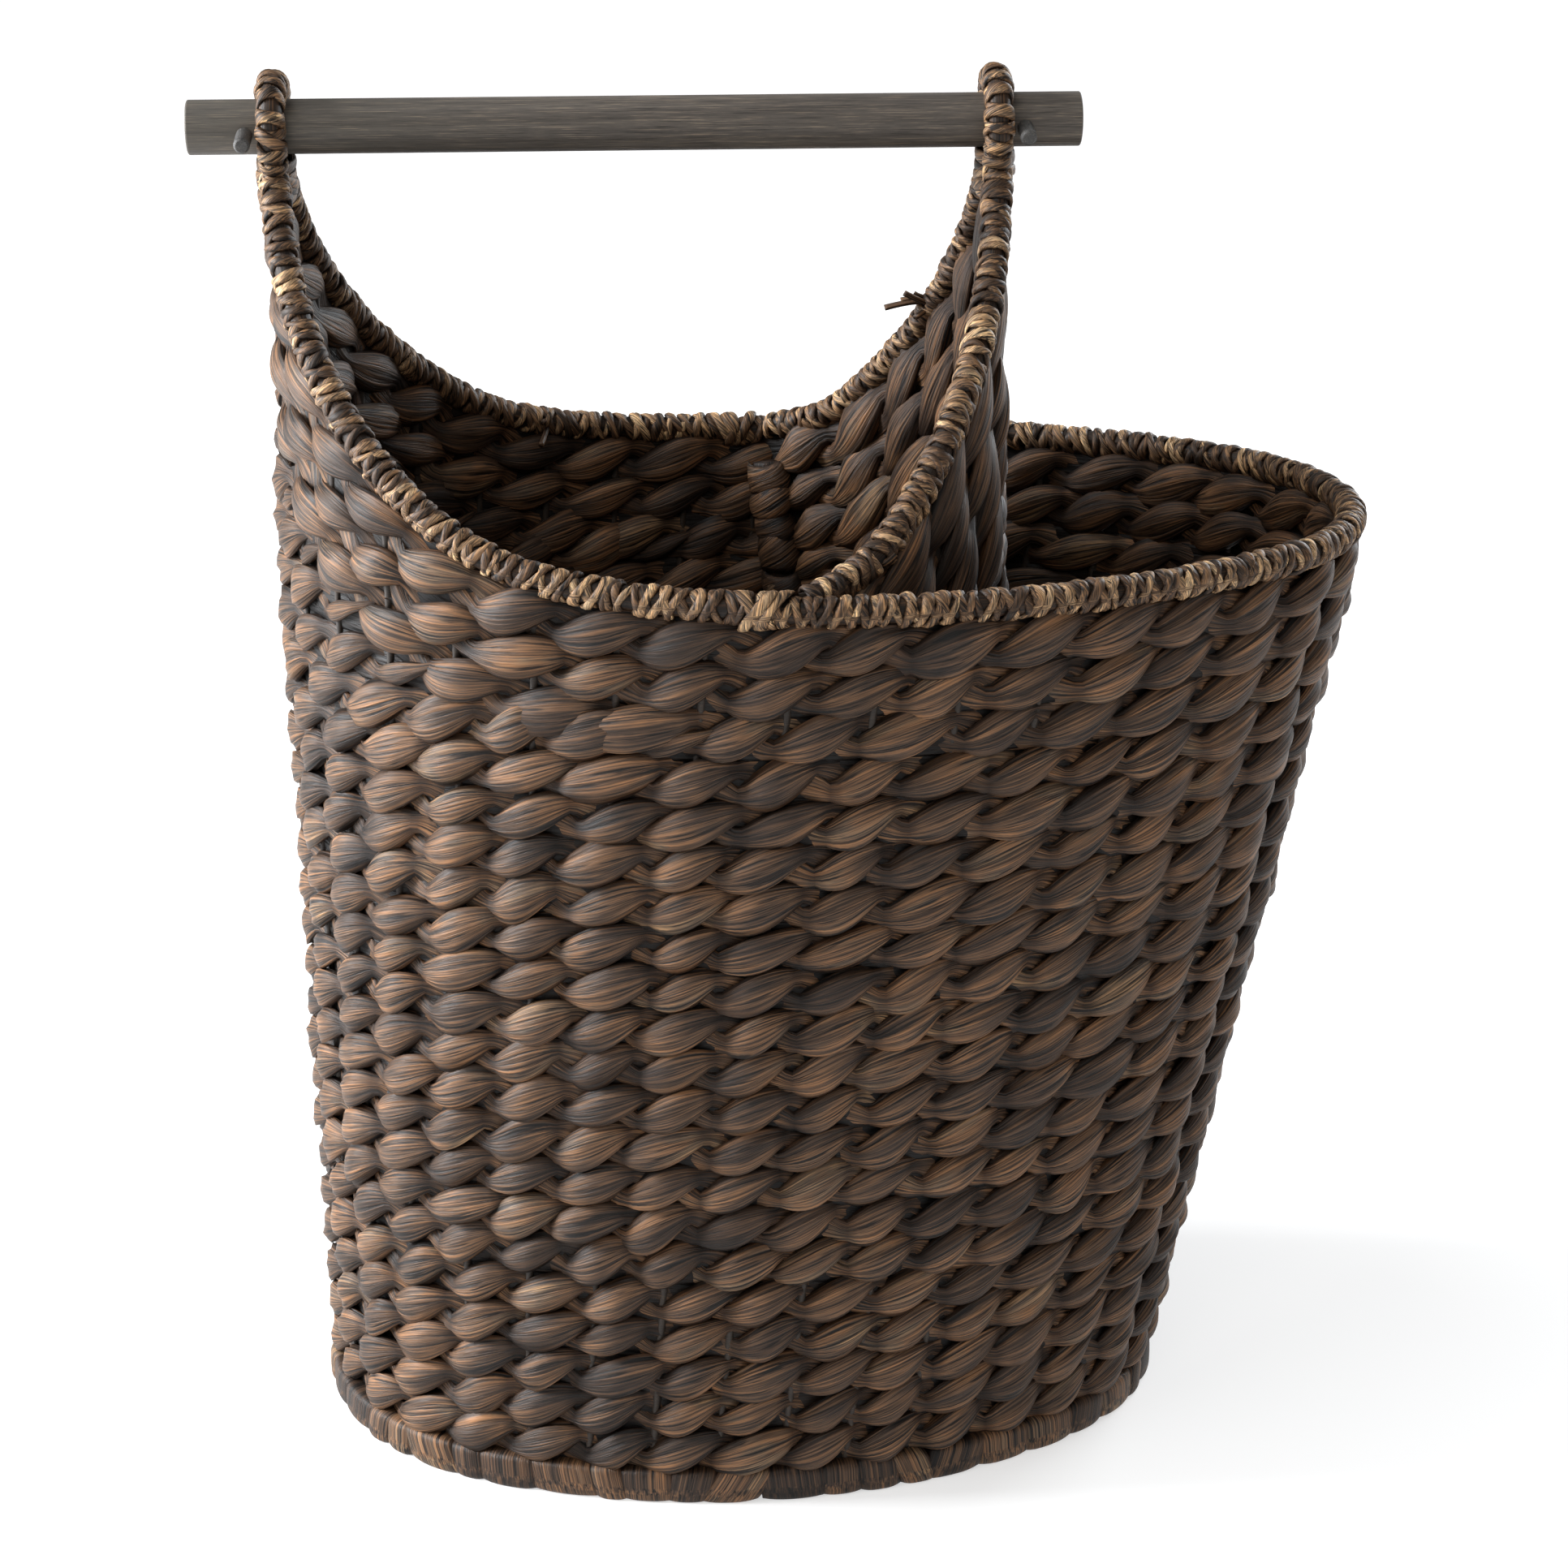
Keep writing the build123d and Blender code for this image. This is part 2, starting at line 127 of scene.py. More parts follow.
def planAt(turn):
    # plan points and outward normals for turns (0..1) round the rim
    along = np.mod(np.atleast_1d(turn), 1.0) * planTotal
    points = np.zeros((len(along), 2))
    normals = np.zeros((len(along), 2))
    edges = np.concatenate([[0], np.cumsum(planLengths)])
    for k, (x, y, r, start, end) in enumerate(planPieces):
        here = (along >= edges[k] - 1e-12) & (along <= edges[k + 1] + 1e-12)
        angle = start + (along[here] - edges[k]) / r
        normals[here] = np.stack([np.cos(angle), np.sin(angle)], -1)
        points[here] = np.array([x, y]) + r * normals[here]
    return points, normals


def wallScale(height):
    return footScale + (1 - footScale) * np.minimum(height, rimHeight) / rimHeight


def wallAt(turn, height, outset=-halfWall):
    # points on the wall, outset from its outer face, with outward normals
    flat, normals = planAt(turn)
    height = np.broadcast_to(height, len(flat)).astype(float)
    scale = wallScale(height)
    shift = rimShift * np.minimum(height, rimHeight) / rimHeight
    points = np.zeros((len(flat), 3))
    points[:, :2] = flat * scale[:, None] + normals * outset
    points[:, 0] += shift
    points[:, 2] = height
    return points, np.column_stack([normals, np.zeros(len(flat))])


turnTable = np.linspace(0, 1, 2001)


def dividerLimit(height, inset):
    # half angle of the divider's arc where it meets the wall at a height
    edge, _ = wallAt(turnTable[:1001], height, -inset)
    order = np.argsort(edge[:, 0])
    angles = np.linspace(0.2, 1.4, 400)
    x = dividerX + body["dividerRadius"] * np.cos(angles)
    y = body["dividerRadius"] * np.sin(angles)
    room = np.interp(x, edge[order, 0], edge[order, 1]) - y
    return float(np.interp(0, -room, angles))


def dividerAt(angle, height):
    angle = np.atleast_1d(angle)
    normals = np.stack([np.cos(angle), np.sin(angle), np.zeros(len(angle))], -1)
    points = normals * body["dividerRadius"]
    points[:, 0] += dividerX
    points[:, 2] = height
    return points, normals


def rimLineHeight(y, ease=0.0):
    # height of the sloping rim's middle
    away = np.sqrt(np.asarray(y, float) ** 2 + ease ** 2)
    radius = body["scoopRadius"]
    line = body["hornHeight"] - (away - body["hornHalfWidth"]) * tan(rimSlope)
    inside = np.minimum(away - scoopY, 0)
    arc = rimHeight + radius - np.sqrt(np.maximum(radius ** 2 - inside ** 2, 1e-9))
    return np.where(away < scoopY - radius * sin(rimSlope), line, arc)


farAbove = 9.0      # metres, higher than any course
smoothSpan = 6
smoothKernel = np.hanning(2 * smoothSpan + 1)
smoothKernel /= smoothKernel.sum()


def lineBelow(along, high, below, loop=None):
    # heights of a line that keeps its distance under another, measured on the surface
    gap = along[:, None] - along[None]
    if loop:
        gap = (gap + loop / 2) % loop - loop / 2
    drop = np.sqrt(np.maximum(below ** 2 - gap ** 2, 0))
    low = np.where(np.abs(gap) <= below, high[None] - drop, farAbove).min(1)
    low = np.pad(low, smoothSpan, "wrap" if loop else "edge")
    return np.convolve(low, smoothKernel, "valid")


def makePiece(name, verts, faces, material, marks, bodyName="basket", replaces=(), slot=None):
    mesh = bpy.data.meshes.new(name)
    verts = np.asarray(verts, np.float32)
    faces = np.asarray(faces, np.int32)
    mesh.vertices.add(len(verts))
    mesh.vertices.foreach_set("co", verts.ravel())
    mesh.loops.add(faces.size)
    mesh.loops.foreach_set("vertex_index", faces.ravel())
    mesh.polygons.add(len(faces))
    mesh.polygons.foreach_set("loop_start", np.arange(len(faces), dtype=np.int32) * 4)
    mesh.polygons.foreach_set("use_smooth", np.ones(len(faces), bool))
    mesh.update(calc_edges=True)
    mesh.validate()
    for word, values in marks.items():
        kind, field = ("FLOAT_VECTOR", "vector") if values.ndim == 2 else ("FLOAT", "value")
        layer = mesh.attributes.new(word, kind, "POINT")
        layer.data.foreach_set(field, values.astype(np.float32).ravel())
    mesh.materials.append(material)
    piece = bpy.data.objects.new(name, mesh)
    bpy.context.scene.collection.objects.link(piece)
    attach(piece, bodyName)
    if replaces:
        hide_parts(*replaces)
    return piece


class Heap:
    # collects tubes until they become one mesh
    def __init__(self):
        self.verts, self.faces, self.count = [], [], 0
        self.marks = {"fibre": [], "tone": [], "shade": []}

    def tube(self, grid, fibre, tone, closed, shade=1.0):
        # grid is (stations, sides, 3); an open tube is capped at each end
        n, m = grid.shape[:2]
        base = self.count
        i = np.arange(n if closed else n - 1)
        j = np.arange(m)
        a = i[:, None] * m + j[None]
        b = i[:, None] * m + (j[None] + 1) % m
        c = ((i[:, None] + 1) % n) * m + (j[None] + 1) % m
        d = ((i[:, None] + 1) % n) * m + j[None]
        self.faces.append(base + np.stack([a, d, c, b], -1).reshape(-1, 4))
        self.verts.append(grid.reshape(-1, 3))
        self.marks["fibre"].append(fibre.reshape(-1, 3))
        self.marks["tone"].append(np.broadcast_to(tone, (n, m)).reshape(-1))
        self.marks["shade"].append(np.broadcast_to(shade, (n, m)).reshape(-1))
        self.count += n * m
        if not closed:
            self.cap(base, m, True)
            self.cap(base + (n - 1) * m, m, False)

    def cap(self, start, m, flip):
        # closes an end with quads across the ring
        half = m // 2
        quads = []
        for k in range(half - 1):
            quad = [start + k, start + k + 1, start + m - 2 - k, start + m - 1 - k]
            quads.append(quad if flip else quad[::-1])
        self.faces.append(np.array(quads))

    def piece(self, name, material, **extra):
        marks = {word: np.concatenate(values) for word, values in self.marks.items()}
        verts, faces = np.concatenate(self.verts), np.concatenate(self.faces)
        return makePiece(name, verts, faces, material, marks, **extra)


def frames(points, normals, closed):
    # tangent, outward and upward directions along a path
    if closed:
        tangent = np.roll(points, -1, 0) - np.roll(points, 1, 0)
    else:
        tangent = np.gradient(points, axis=0)
    tangent /= np.linalg.norm(tangent, axis=1, keepdims=True)
    out = normals - (normals * tangent).sum(1, keepdims=True) * tangent
    out /= np.linalg.norm(out, axis=1, keepdims=True)
    return tangent, out, np.cross(out, tangent)


def evenPath(points, normals, count, closed):
    # the same path with evenly spaced stations
    if closed:
        points = np.vstack([points, points[:1]])
        normals = np.vstack([normals, normals[:1]])
    along = np.concatenate([[0], np.cumsum(np.linalg.norm(np.diff(points, axis=0), axis=1))])
    where = np.linspace(0, along[-1], count + 1)
    if closed:
        where = where[:-1]
    newPoints = np.stack([np.interp(where, along, points[:, k]) for k in range(3)], -1)
    newNormals = np.stack([np.interp(where, along, normals[:, k]) for k in range(3)], -1)
    return newPoints, newNormals, along[-1]


twist = {
    "stations": 12,          # per half twist
    "sides": 18,
    "sway": 4.8 * mm,        # up and down travel of a stalk
    "swing": 3.5 * mm,       # in and out travel
    "tall": 8.2 * mm,        # half height of a stalk where it shows
    "pinched": 3.5 * mm,     # half height where the two stalks cross
    "thick": 3.4 * mm,       # half thickness
    "crease": 0.075,         # depth of the lengthwise creases, as a share
    "unevenness": 0.10,
    "rowHeight": 16.17 * mm, # course height that these sizes suit
    "wobble": 0.5 * mm,      # how far a course strays up and down
    "crossing": 0.07,        # how far a crossing strays, in half twists
    "bulge": 0.5 * mm,       # how far a stalk strays in and out
    "point": 0.98,           # nearer 1 is a sharper turn at the top of a stalk's travel
    "sharpness": 0.8,        # share of that sharp turn in the travel
    "roundness": 0.9,
    "endLeast": 0.25,        # thinnest a tapered end gets, as a share
    "waves": ((3, 0.9), (5, 1.0), (7, 0.8), (9, 0.6)),      # creases round a stalk and their shares
    "drift": 0.06,
    "anyPhase": 6.28,
}
fibreRange = {"stalk": 40, "strip": 30}     # metres of fibre that a piece's grain is taken from
paintedShadeDepth = {"least": 0.3, "gain": 1.8, "edge": 0.7, "edgePower": 9}    # painted shade: how much darker a stalk is painted where it dives and along its top and bottom edges
coreSides = 12
bandPlan = {"thick": 0.5 * mm, "tall": 9.2 * mm, "stations": 300}


def fillBand(heap, points, normals, closed=False):
    # a thin band along the middle of a course, seen only through its gaps; it gets the darkest tone and full
    # painted shade, standing in for the shaded stalks behind
    coreTube(heap, points, normals, bandPlan["thick"], bandPlan["tall"], closed=closed, shade=0.0,
             count=bandPlan["stations"])


def twine(heap, points, normals, spacing, rng, closed=False, size=1.0, phase=0.0, flat=1.0, taper=0.0):
    # two stalks twisted round each other along a path; one half twist per spacing
    _, _, length = evenPath(points, normals, 8, closed)
    halves = max(2, int(round(length / spacing)))
    if closed:
        halves += halves % 2
    count = halves * twist["stations"]
    path, outward, length = evenPath(points, normals, count, closed)
    _, out, up = frames(path, outward, closed)
    if callable(flat):
        flat = flat(path)
    n = len(path)
    step = np.arange(n) / twist["stations"]
    wobble = rng.normal(0, twist["wobble"], halves + 2)
    if closed:
        wobble[halves:] = wobble[:2]
    path = path + up * np.interp(step, np.arange(halves + 2), wobble)[:, None] * size
    side = np.linspace(0, 2 * pi, twist["sides"], endpoint=False)
    for strand in range(2):
        crossings = rng.normal(0, twist["crossing"], halves + 2)
        plump = 1 + rng.normal(0, twist["unevenness"], halves + 2)
        bulge = rng.normal(0, twist["bulge"], halves + 2)
        tones = rng.random(halves + 2)
        if closed:
            for values in (crossings, plump, bulge, tones):
                values[halves:] = values[:2]
        marks = np.arange(halves + 2)
        turn = pi * (step + strand + phase + np.interp(step, marks, crossings))
        seen = np.abs(np.sin(turn))
        grow = np.interp(step + 0.5, marks, plump) if not closed else np.interp(step, marks, plump)
        tall = (twist["pinched"] + (twist["tall"] - twist["pinched"]) * seen) * grow * size
        thick = twist["thick"] * (0.86 + 0.2 * seen) * (0.5 + 0.5 * grow) * size * flat
        point, sharp = twist["point"], twist["sharpness"]
        ramped = (1 - sharp) * np.cos(turn) + sharp * np.arcsin(point * np.cos(turn)) / np.arcsin(point)
        lift = -twist["sway"] * ramped * size
        dive = np.sign(np.sin(turn)) * seen ** twist["roundness"]
        reach = (twist["swing"] * dive + np.interp(step, marks, bulge) * seen * np.sign(dive)) * size * flat
        if taper and not closed:
            fromEnd = np.minimum(np.arange(n), n - 1 - np.arange(n))
            fade = np.clip(fromEnd / (taper * twist["stations"]), twist["endLeast"], 1)
            tall, thick = tall * fade, thick * (0.4 + 0.6 * fade)
        # lengthwise creases drift slowly along the stalk
        crease = np.ones((n, len(side)))
        for waves, share in twist["waves"]:
            drift = np.cumsum(rng.normal(0, twist["drift"], n))
            if closed:
                drift -= np.linspace(0, drift[-1], n)
            phases = waves * side[None] + drift[:, None] + rng.random() * twist["anyPhase"]
            crease += twist["crease"] * share * np.cos(phases)
        centre = path + up * lift[:, None] + out * reach[:, None]
        grid = (centre[:, None]
                + up[:, None] * (np.sin(side)[None] * tall[:, None] * crease)[..., None]
                + out[:, None] * (np.cos(side)[None] * thick[:, None] * crease)[..., None])
        start = rng.random() * fibreRange["stalk"]
        run = start + np.arange(n) / n * length
        fibre = np.zeros((n, len(side), 3))
        fibre[..., 0] = run[:, None]
        fibre[..., 1] = np.cos(side)[None] * twist["thick"] * 1.1
        fibre[..., 2] = np.sin(side)[None] * twist["tall"]
        tone = np.interp(step, marks, tones)
        # painted shade: the stalk's colour is darkened where it dives behind the other stalk, and along its
        # top and bottom edges, which tuck under the next course
        least = paintedShadeDepth["least"]
        onTop = least + (1 - least) * np.clip(paintedShadeDepth["gain"] * seen, 0, 1)
        onEdge = 1 - paintedShadeDepth["edge"] * np.abs(np.sin(side)) ** paintedShadeDepth["edgePower"]
        heap.tube(grid, fibre, tone[:, None], closed, onTop[:, None] * onEdge[None])


wound = {
    "stations": 400,
    "sides": 22,             # round one turn
    "edges": 8,              # round the strip's own section
    "lean": 2.0 * mm,        # how far a turn leans along the path
    "backLean": -0.55,       # lean of every other turn, as a share
    "squashOut": 1.0,
    "squashUp": 1.0,
    "loose": 0.5 * mm,
    "tones": (0.0, 1.0),
    "slip": 0.18,            # how far a turn strays, as a share of the pitch
    "pathEnd": 0.004,
    "twistAway": 0.5,        # radians that a turn's lean strays round the path
    "waves": (0.035, 0.03),  # unevenness of a turn's radius
    "swell": 0.16,           # unevenness of the strip's width
    "lay": (0.3, 0.25),      # radians between the strip and its fibres, and their spread
    "anyPhase": 6,
    # darkest share of a turn's colour, as painted shade on its inner face and edges
    "edgeShade": 0.12,
}


def windTurns(heap, points, normals, rng, wind):
    # separate turns of strip wound round a path, each one a closed band
    wind = {**wound, **wind}
    length = np.linalg.norm(np.diff(points, axis=0), axis=1).sum()
    count = max(2, int(round(length / wind["pitch"])))
    path, outward, length = evenPath(points, normals, wind["stations"], False)
    tangent, out, up = frames(path, outward, False)
    around = np.linspace(0, 2 * pi, wind["sides"], endpoint=False)
    section = np.linspace(0, 2 * pi, wind["edges"], endpoint=False)
    loose, anyPhase = wind["loose"], wind["anyPhase"]
    for k in range(count):
        at = (k + 0.5 + rng.normal(0, wind["slip"])) / count
        i = int(min(max(at, wind["pathEnd"]), 1 - wind["pathEnd"]) * wind["stations"])
        centre, t, o, u = path[i], tangent[i], out[i], up[i]
        tilt = wind["lean"] * (1 if k % 2 else wind["backLean"]) * (0.7 + 0.6 * rng.random())
        facing = rng.normal(0, wind["twistAway"])
        bump = rng.normal(0, 0.3 * loose) + (0.5 * loose if k % 2 else 0)
        wave = 1 + wind["waves"][0] * np.cos(2 * around + rng.random() * anyPhase)
        wave += wind["waves"][1] * np.cos(3 * around + rng.random() * anyPhase)
        r = (wind["radius"] - wind["thickness"] / 2 + bump) * wave
        w = wind["width"] * (0.8 + 0.45 * rng.random()) / 2
        h = wind["thickness"] * (0.8 + 0.4 * rng.random()) / 2
        radial = (np.cos(around)[:, None] * o * wind["squashOut"]
                  + np.sin(around)[:, None] * u * wind["squashUp"])
        middle = centre + radial * r[:, None] + t * (tilt * np.cos(around - pi / 2 - facing))[:, None]
        swell = 1 + wind["swell"] * np.cos(2 * around + rng.random() * anyPhase)
        along = np.cos(section)[None] * (w * swell)[:, None]
        high = np.sin(section)[None] * h
        grid = middle[:, None] + t * along[..., None] + radial[:, None] * high[..., None]
        fibre = np.zeros(grid.shape)
        lay = wind["lay"][0] + wind["lay"][1] * rng.random()
        run, across = (around * wind["radius"])[:, None], np.cos(section)[None] * w
        fibre[..., 0] = run * cos(lay) - across * sin(lay) + rng.random() * fibreRange["strip"]
        fibre[..., 1] = run * sin(lay) + across * cos(lay)
        fibre[..., 2] = np.sin(section)[None] * h
        darkest, lightest = wind["tones"]
        tone = darkest + (lightest - darkest) * rng.random()
        # painted shade: each turn is darkened on its inner face and along its edges, where it meets the next
        # turn, down to edgeShade
        onTop = np.clip(np.sin(section), 0, 1)[None] ** 0.8
        heap.tube(grid, fibre, tone, True, wind["edgeShade"] + (1 - wind["edgeShade"]) * onTop)


# a plain tube along a path; its colour is darkened by its shade value as painted shade (0.3 unless given), as
# on the cores that lie under wound turns
def coreTube(heap, points, normals, radiusOut, radiusUp, tone=0.0, closed=False, shade=0.3, count=160):
    path, outward, length = evenPath(points, normals, count, closed)
    _, out, up = frames(path, outward, closed)
    side = np.linspace(0, 2 * pi, coreSides, endpoint=False)
    grid = (path[:, None] + out[:, None] * (np.cos(side) * radiusOut)[None, :, None]
            + up[:, None] * (np.sin(side) * radiusUp)[None, :, None])
    fibre = np.zeros(grid.shape)
    fibre[..., 0] = np.linspace(0, length, len(path))[:, None]
    fibre[..., 1] = np.cos(side)[None] * radiusOut
    fibre[..., 2] = np.sin(side)[None] * radiusUp
    heap.tube(grid, fibre, tone, closed, shade)


def node(tree, kind, **inputs):
    made = tree.nodes.new(kind)
    for name, value in inputs.items():
        if name in made.inputs:
            made.inputs[name].default_value = value
        else:
            setattr(made, name, value)
    return made


def stretched(tree, source, scale):
    made = node(tree, "ShaderNodeVectorMath", operation="MULTIPLY")
    tree.links.new(source, made.inputs[0])
    made.inputs[1].default_value = scale
    return made.outputs[0]


def noiseOf(tree, source, scale, detail=3.0, roughness=0.55):
    made = node(tree, "ShaderNodeTexNoise", Detail=detail, Roughness=roughness)
    made.inputs["Scale"].default_value = 1.0
    tree.links.new(stretched(tree, source, scale), made.inputs["Vector"])
    return made.outputs["Fac"]


def ramp(tree, source, stops, ease="LINEAR"):
    made = node(tree, "ShaderNodeValToRGB")
    made.color_ramp.interpolation = ease
    while len(made.color_ramp.elements) < len(stops):
        made.color_ramp.elements.new(0.5)
    for element, (place, colour) in zip(made.color_ramp.elements, stops):
        element.position = place
        element.color = (*colour, 1)
    tree.links.new(source, made.inputs["Fac"])
    return made.outputs["Color"]


def mixed(tree, kind, amount, first, second):
    made = node(tree, "ShaderNodeMix", data_type="RGBA", blend_type=kind)
    for socket, value in ((made.inputs[0], amount), (made.inputs[6], first), (made.inputs[7], second)):
        if isinstance(value, bpy.types.NodeSocket):
            tree.links.new(value, socket)
        elif isinstance(value, (int, float)):
            socket.default_value = value
        else:
            socket.default_value = (*value, 1)
    return made.outputs[2]


def maths(tree, kind, first, second, third=None):
    made = node(tree, "ShaderNodeMath", operation=kind)
    for socket, value in zip(made.inputs, (first, second, third)):
        if isinstance(value, bpy.types.NodeSocket):
            tree.links.new(value, socket)
        elif value is not None:
            socket.default_value = value
    return made.outputs[0]


def bumped(tree, height, distance, strength, under=None):
    made = node(tree, "ShaderNodeBump", Strength=strength, Distance=distance)
    tree.links.new(height, made.inputs["Height"])
    if under is not None:
        tree.links.new(under, made.inputs["Normal"])
    return made.outputs["Normal"]


def newFinish(name):
    material = bpy.data.materials.new(name)
    material.use_nodes = True
    tree = material.node_tree
    return material, tree, tree.nodes["Principled BSDF"]


stalkLook = {
    "stops": [(0.0, (0.016, 0.0095, 0.0062)), (0.28, (0.036, 0.0215, 0.0138)), (0.5, (0.067, 0.0395, 0.0235)),
              (0.68, (0.100, 0.0555, 0.030)), (0.84, (0.073, 0.051, 0.035)), (1.0, (0.147, 0.096, 0.056))],
    "lineScale": (28, 1450, 1450),
    "creaseScale": (34, 800, 800),
    "patchScale": (26, 90, 90),
    "lineDepth": 0.4 * mm,
    "creaseDepth": 1.1 * mm,
    "roughness": (0.42, 0.62),
    "toneShare": 0.55,       # how much the tone differs from stalk to stalk
    "patchGain": 1.7,        # how much it differs within one
    "patchShift": -0.35,
    "specular": 0.27,
}


# colour ramps multiplied into a stalk's colour. The crease ramp darkens the grooves of the crease bump:
# partly the stalk's own dark fibre lines, partly painted shade in the creases. The streak ramp darkens the
# low lines and lightens the raised ones: partly lighter fibres, partly painted highlight on the ridges. The
# last ramp turns the shade mark into painted shade.
fibreAndPaintedLightStops = {
    "crease": [(0.38, (0.08, 0.07, 0.06)), (0.43, (0.92, 0.92, 0.92)), (0.62, (1.3, 1.23, 1.15))],
    "streak": [(0.39, (0.34, 0.32, 0.30)), (0.49, (0.88, 0.88, 0.88)), (0.62, (2.3, 2.05, 1.7))],
    "paintedShade": [(0.0, (0.10, 0.09, 0.085)), (0.45, (0.55, 0.52, 0.5)), (0.9, (1, 1, 1))],
}


def stalkFinish(name, look):
    material, tree, shader = newFinish(name)
    fibre = node(tree, "ShaderNodeAttribute", attribute_name="fibre").outputs["Vector"]
    tone = node(tree, "ShaderNodeAttribute", attribute_name="tone").outputs["Fac"]
    shade = node(tree, "ShaderNodeAttribute", attribute_name="shade").outputs["Fac"]
    lines = noiseOf(tree, fibre, look["lineScale"], 4.0, 0.6)
    creases = noiseOf(tree, fibre, look["creaseScale"], 3.0, 0.55)
    patches = noiseOf(tree, fibre, look["patchScale"], 3.0, 0.6)
    shift = look["patchShift"] - look["toneShare"] / 2
    spread = maths(tree, "MULTIPLY_ADD", patches, look["patchGain"], shift)
    place = maths(tree, "MULTIPLY_ADD", tone, look["toneShare"], spread)
    base = ramp(tree, place, look["stops"])
    # the bump's grooves and ridges are also darkened and lightened in colour, partly the stalk's own fibre
    # colour and partly painted shade and painted highlight; the shade mark multiplies in painted shade
    for source, word in ((creases, "crease"), (lines, "streak"), (shade, "paintedShade")):
        base = mixed(tree, "MULTIPLY", 1.0, base, ramp(tree, source, fibreAndPaintedLightStops[word]))
    tree.links.new(base, shader.inputs["Base Color"])
    low, high = look["roughness"]
    rough = maths(tree, "MULTIPLY_ADD", lines, high - low, low)
    tree.links.new(rough, shader.inputs["Roughness"])
    shape = bumped(tree, creases, look["creaseDepth"], 0.8)
    shape = bumped(tree, lines, look["lineDepth"], 0.9, shape)
    tree.links.new(shape, shader.inputs["Normal"])
    shader.inputs["Specular IOR Level"].default_value = look["specular"]
    return material


stripLook = dict(
    stalkLook,
    stops=[(0.0, (0.020, 0.0125, 0.008)), (0.4, (0.064, 0.038, 0.0225)), (0.62, (0.125, 0.078, 0.045)),
           (0.84, (0.25, 0.172, 0.104)), (1.0, (0.42, 0.31, 0.19))],
    lineScale=(30, 2600, 2600),
    creaseScale=(16, 900, 900),
    patchScale=(34, 160, 160),
    lineDepth=0.1 * mm,
    creaseDepth=0.35 * mm,
    roughness=(0.4, 0.68),
    toneShare=0.62,
)
bandLook = dict(
    stalkLook,
    lineScale=(28, 1300, 1300),
    creaseScale=(22, 620, 620),
    creaseDepth=0.45 * mm,
    toneShare=0.85,
)

stalk = stalkFinish("dyed water stalk", stalkLook)
strip = stalkFinish("wound strip", stripLook)
band = stalkFinish("flat foot wrap", bandLook)

woodLook = {
    "stops": [(0.0, (0.040, 0.034, 0.029)), (0.45, (0.084, 0.072, 0.061)), (0.75, (0.122, 0.106, 0.089)),
              (1.0, (0.20, 0.176, 0.146))],
    "grainScale": (9, 420, 420),
    "poreScale": (55, 2600, 2600),
    "cloudScale": (7, 25, 25),
    "roughness": (0.5, 0.68),
    "grainDepth": 0.15 * mm,
    "poreDepth": 0.06 * mm,
    "specular": 0.35,
}
poreStops = [(0.38, (0.5, 0.5, 0.5)), (0.45, (1, 1, 1)), (0.57, (1, 1, 1)), (0.66, (2.4, 2.2, 1.9))]


def woodFinish(name, look, endTint=None):
    material, tree, shader = newFinish(name)
    place = node(tree, "ShaderNodeTexCoord").outputs["Object"]
    grain = noiseOf(tree, place, look["grainScale"], 5.0, 0.62)
    pores = noiseOf(tree, place, look["poreScale"], 3.0, 0.7)
    cloud = noiseOf(tree, place, look["cloudScale"], 2.0, 0.5)
    mixedPlace = maths(tree, "MULTIPLY_ADD", grain, 1.3, maths(tree, "MULTIPLY_ADD", cloud, 0.7, -0.55))
    base = ramp(tree, mixedPlace, look["stops"])
    base = mixed(tree, "MULTIPLY", 1.0, base, ramp(tree, pores, poreStops))
    if endTint:
        split = node(tree, "ShaderNodeSeparateXYZ")
        tree.links.new(place, split.inputs[0])
        fromEnd = maths(tree, "MULTIPLY_ADD", split.outputs["X"], -1 / endTint["length"], endTint["start"])
        fade = ramp(tree, fromEnd, [(0.0, (0, 0, 0)), (1.0, (1, 1, 1))], "EASE")
        base = mixed(tree, "MIX", maths(tree, "MULTIPLY", fade, endTint["share"]), base, endTint["colour"])
    tree.links.new(base, shader.inputs["Base Color"])
    low, high = look["roughness"]
    tree.links.new(maths(tree, "MULTIPLY_ADD", grain, high - low, low), shader.inputs["Roughness"])
    shape = bumped(tree, grain, look["grainDepth"], 0.5)
    shape = bumped(tree, pores, look["poreDepth"], 0.7, shape)
    tree.links.new(shape, shader.inputs["Normal"])
    shader.inputs["Specular IOR Level"].default_value = look["specular"]
    return material


tintLength = 0.16
barEnd = {
    "length": tintLength,
    "start": barLow.x / tintLength + 1.0,
    "share": 0.35,
    "colour": (0.085, 0.082, 0.070),
}
pegLook = dict(
    woodLook,
    grainScale=(420, 9, 420),
    poreScale=(2600, 55, 2600),
    stops=[(0.0, (0.02, 0.02, 0.02)), (0.6, (0.07, 0.068, 0.066)), (1.0, (0.2, 0.19, 0.18))],
)
caneLook = dict(
    woodLook,
    grainScale=(300, 300, 12),
    stops=[(0.0, (0.012, 0.009, 0.007)), (1.0, (0.04, 0.028, 0.02))],
)

barWood = woodFinish("stained dowel", woodLook, barEnd)
pegWood = woodFinish("stained peg", pegLook)
cane = woodFinish("bare cane", caneLook)
print("finishes made")


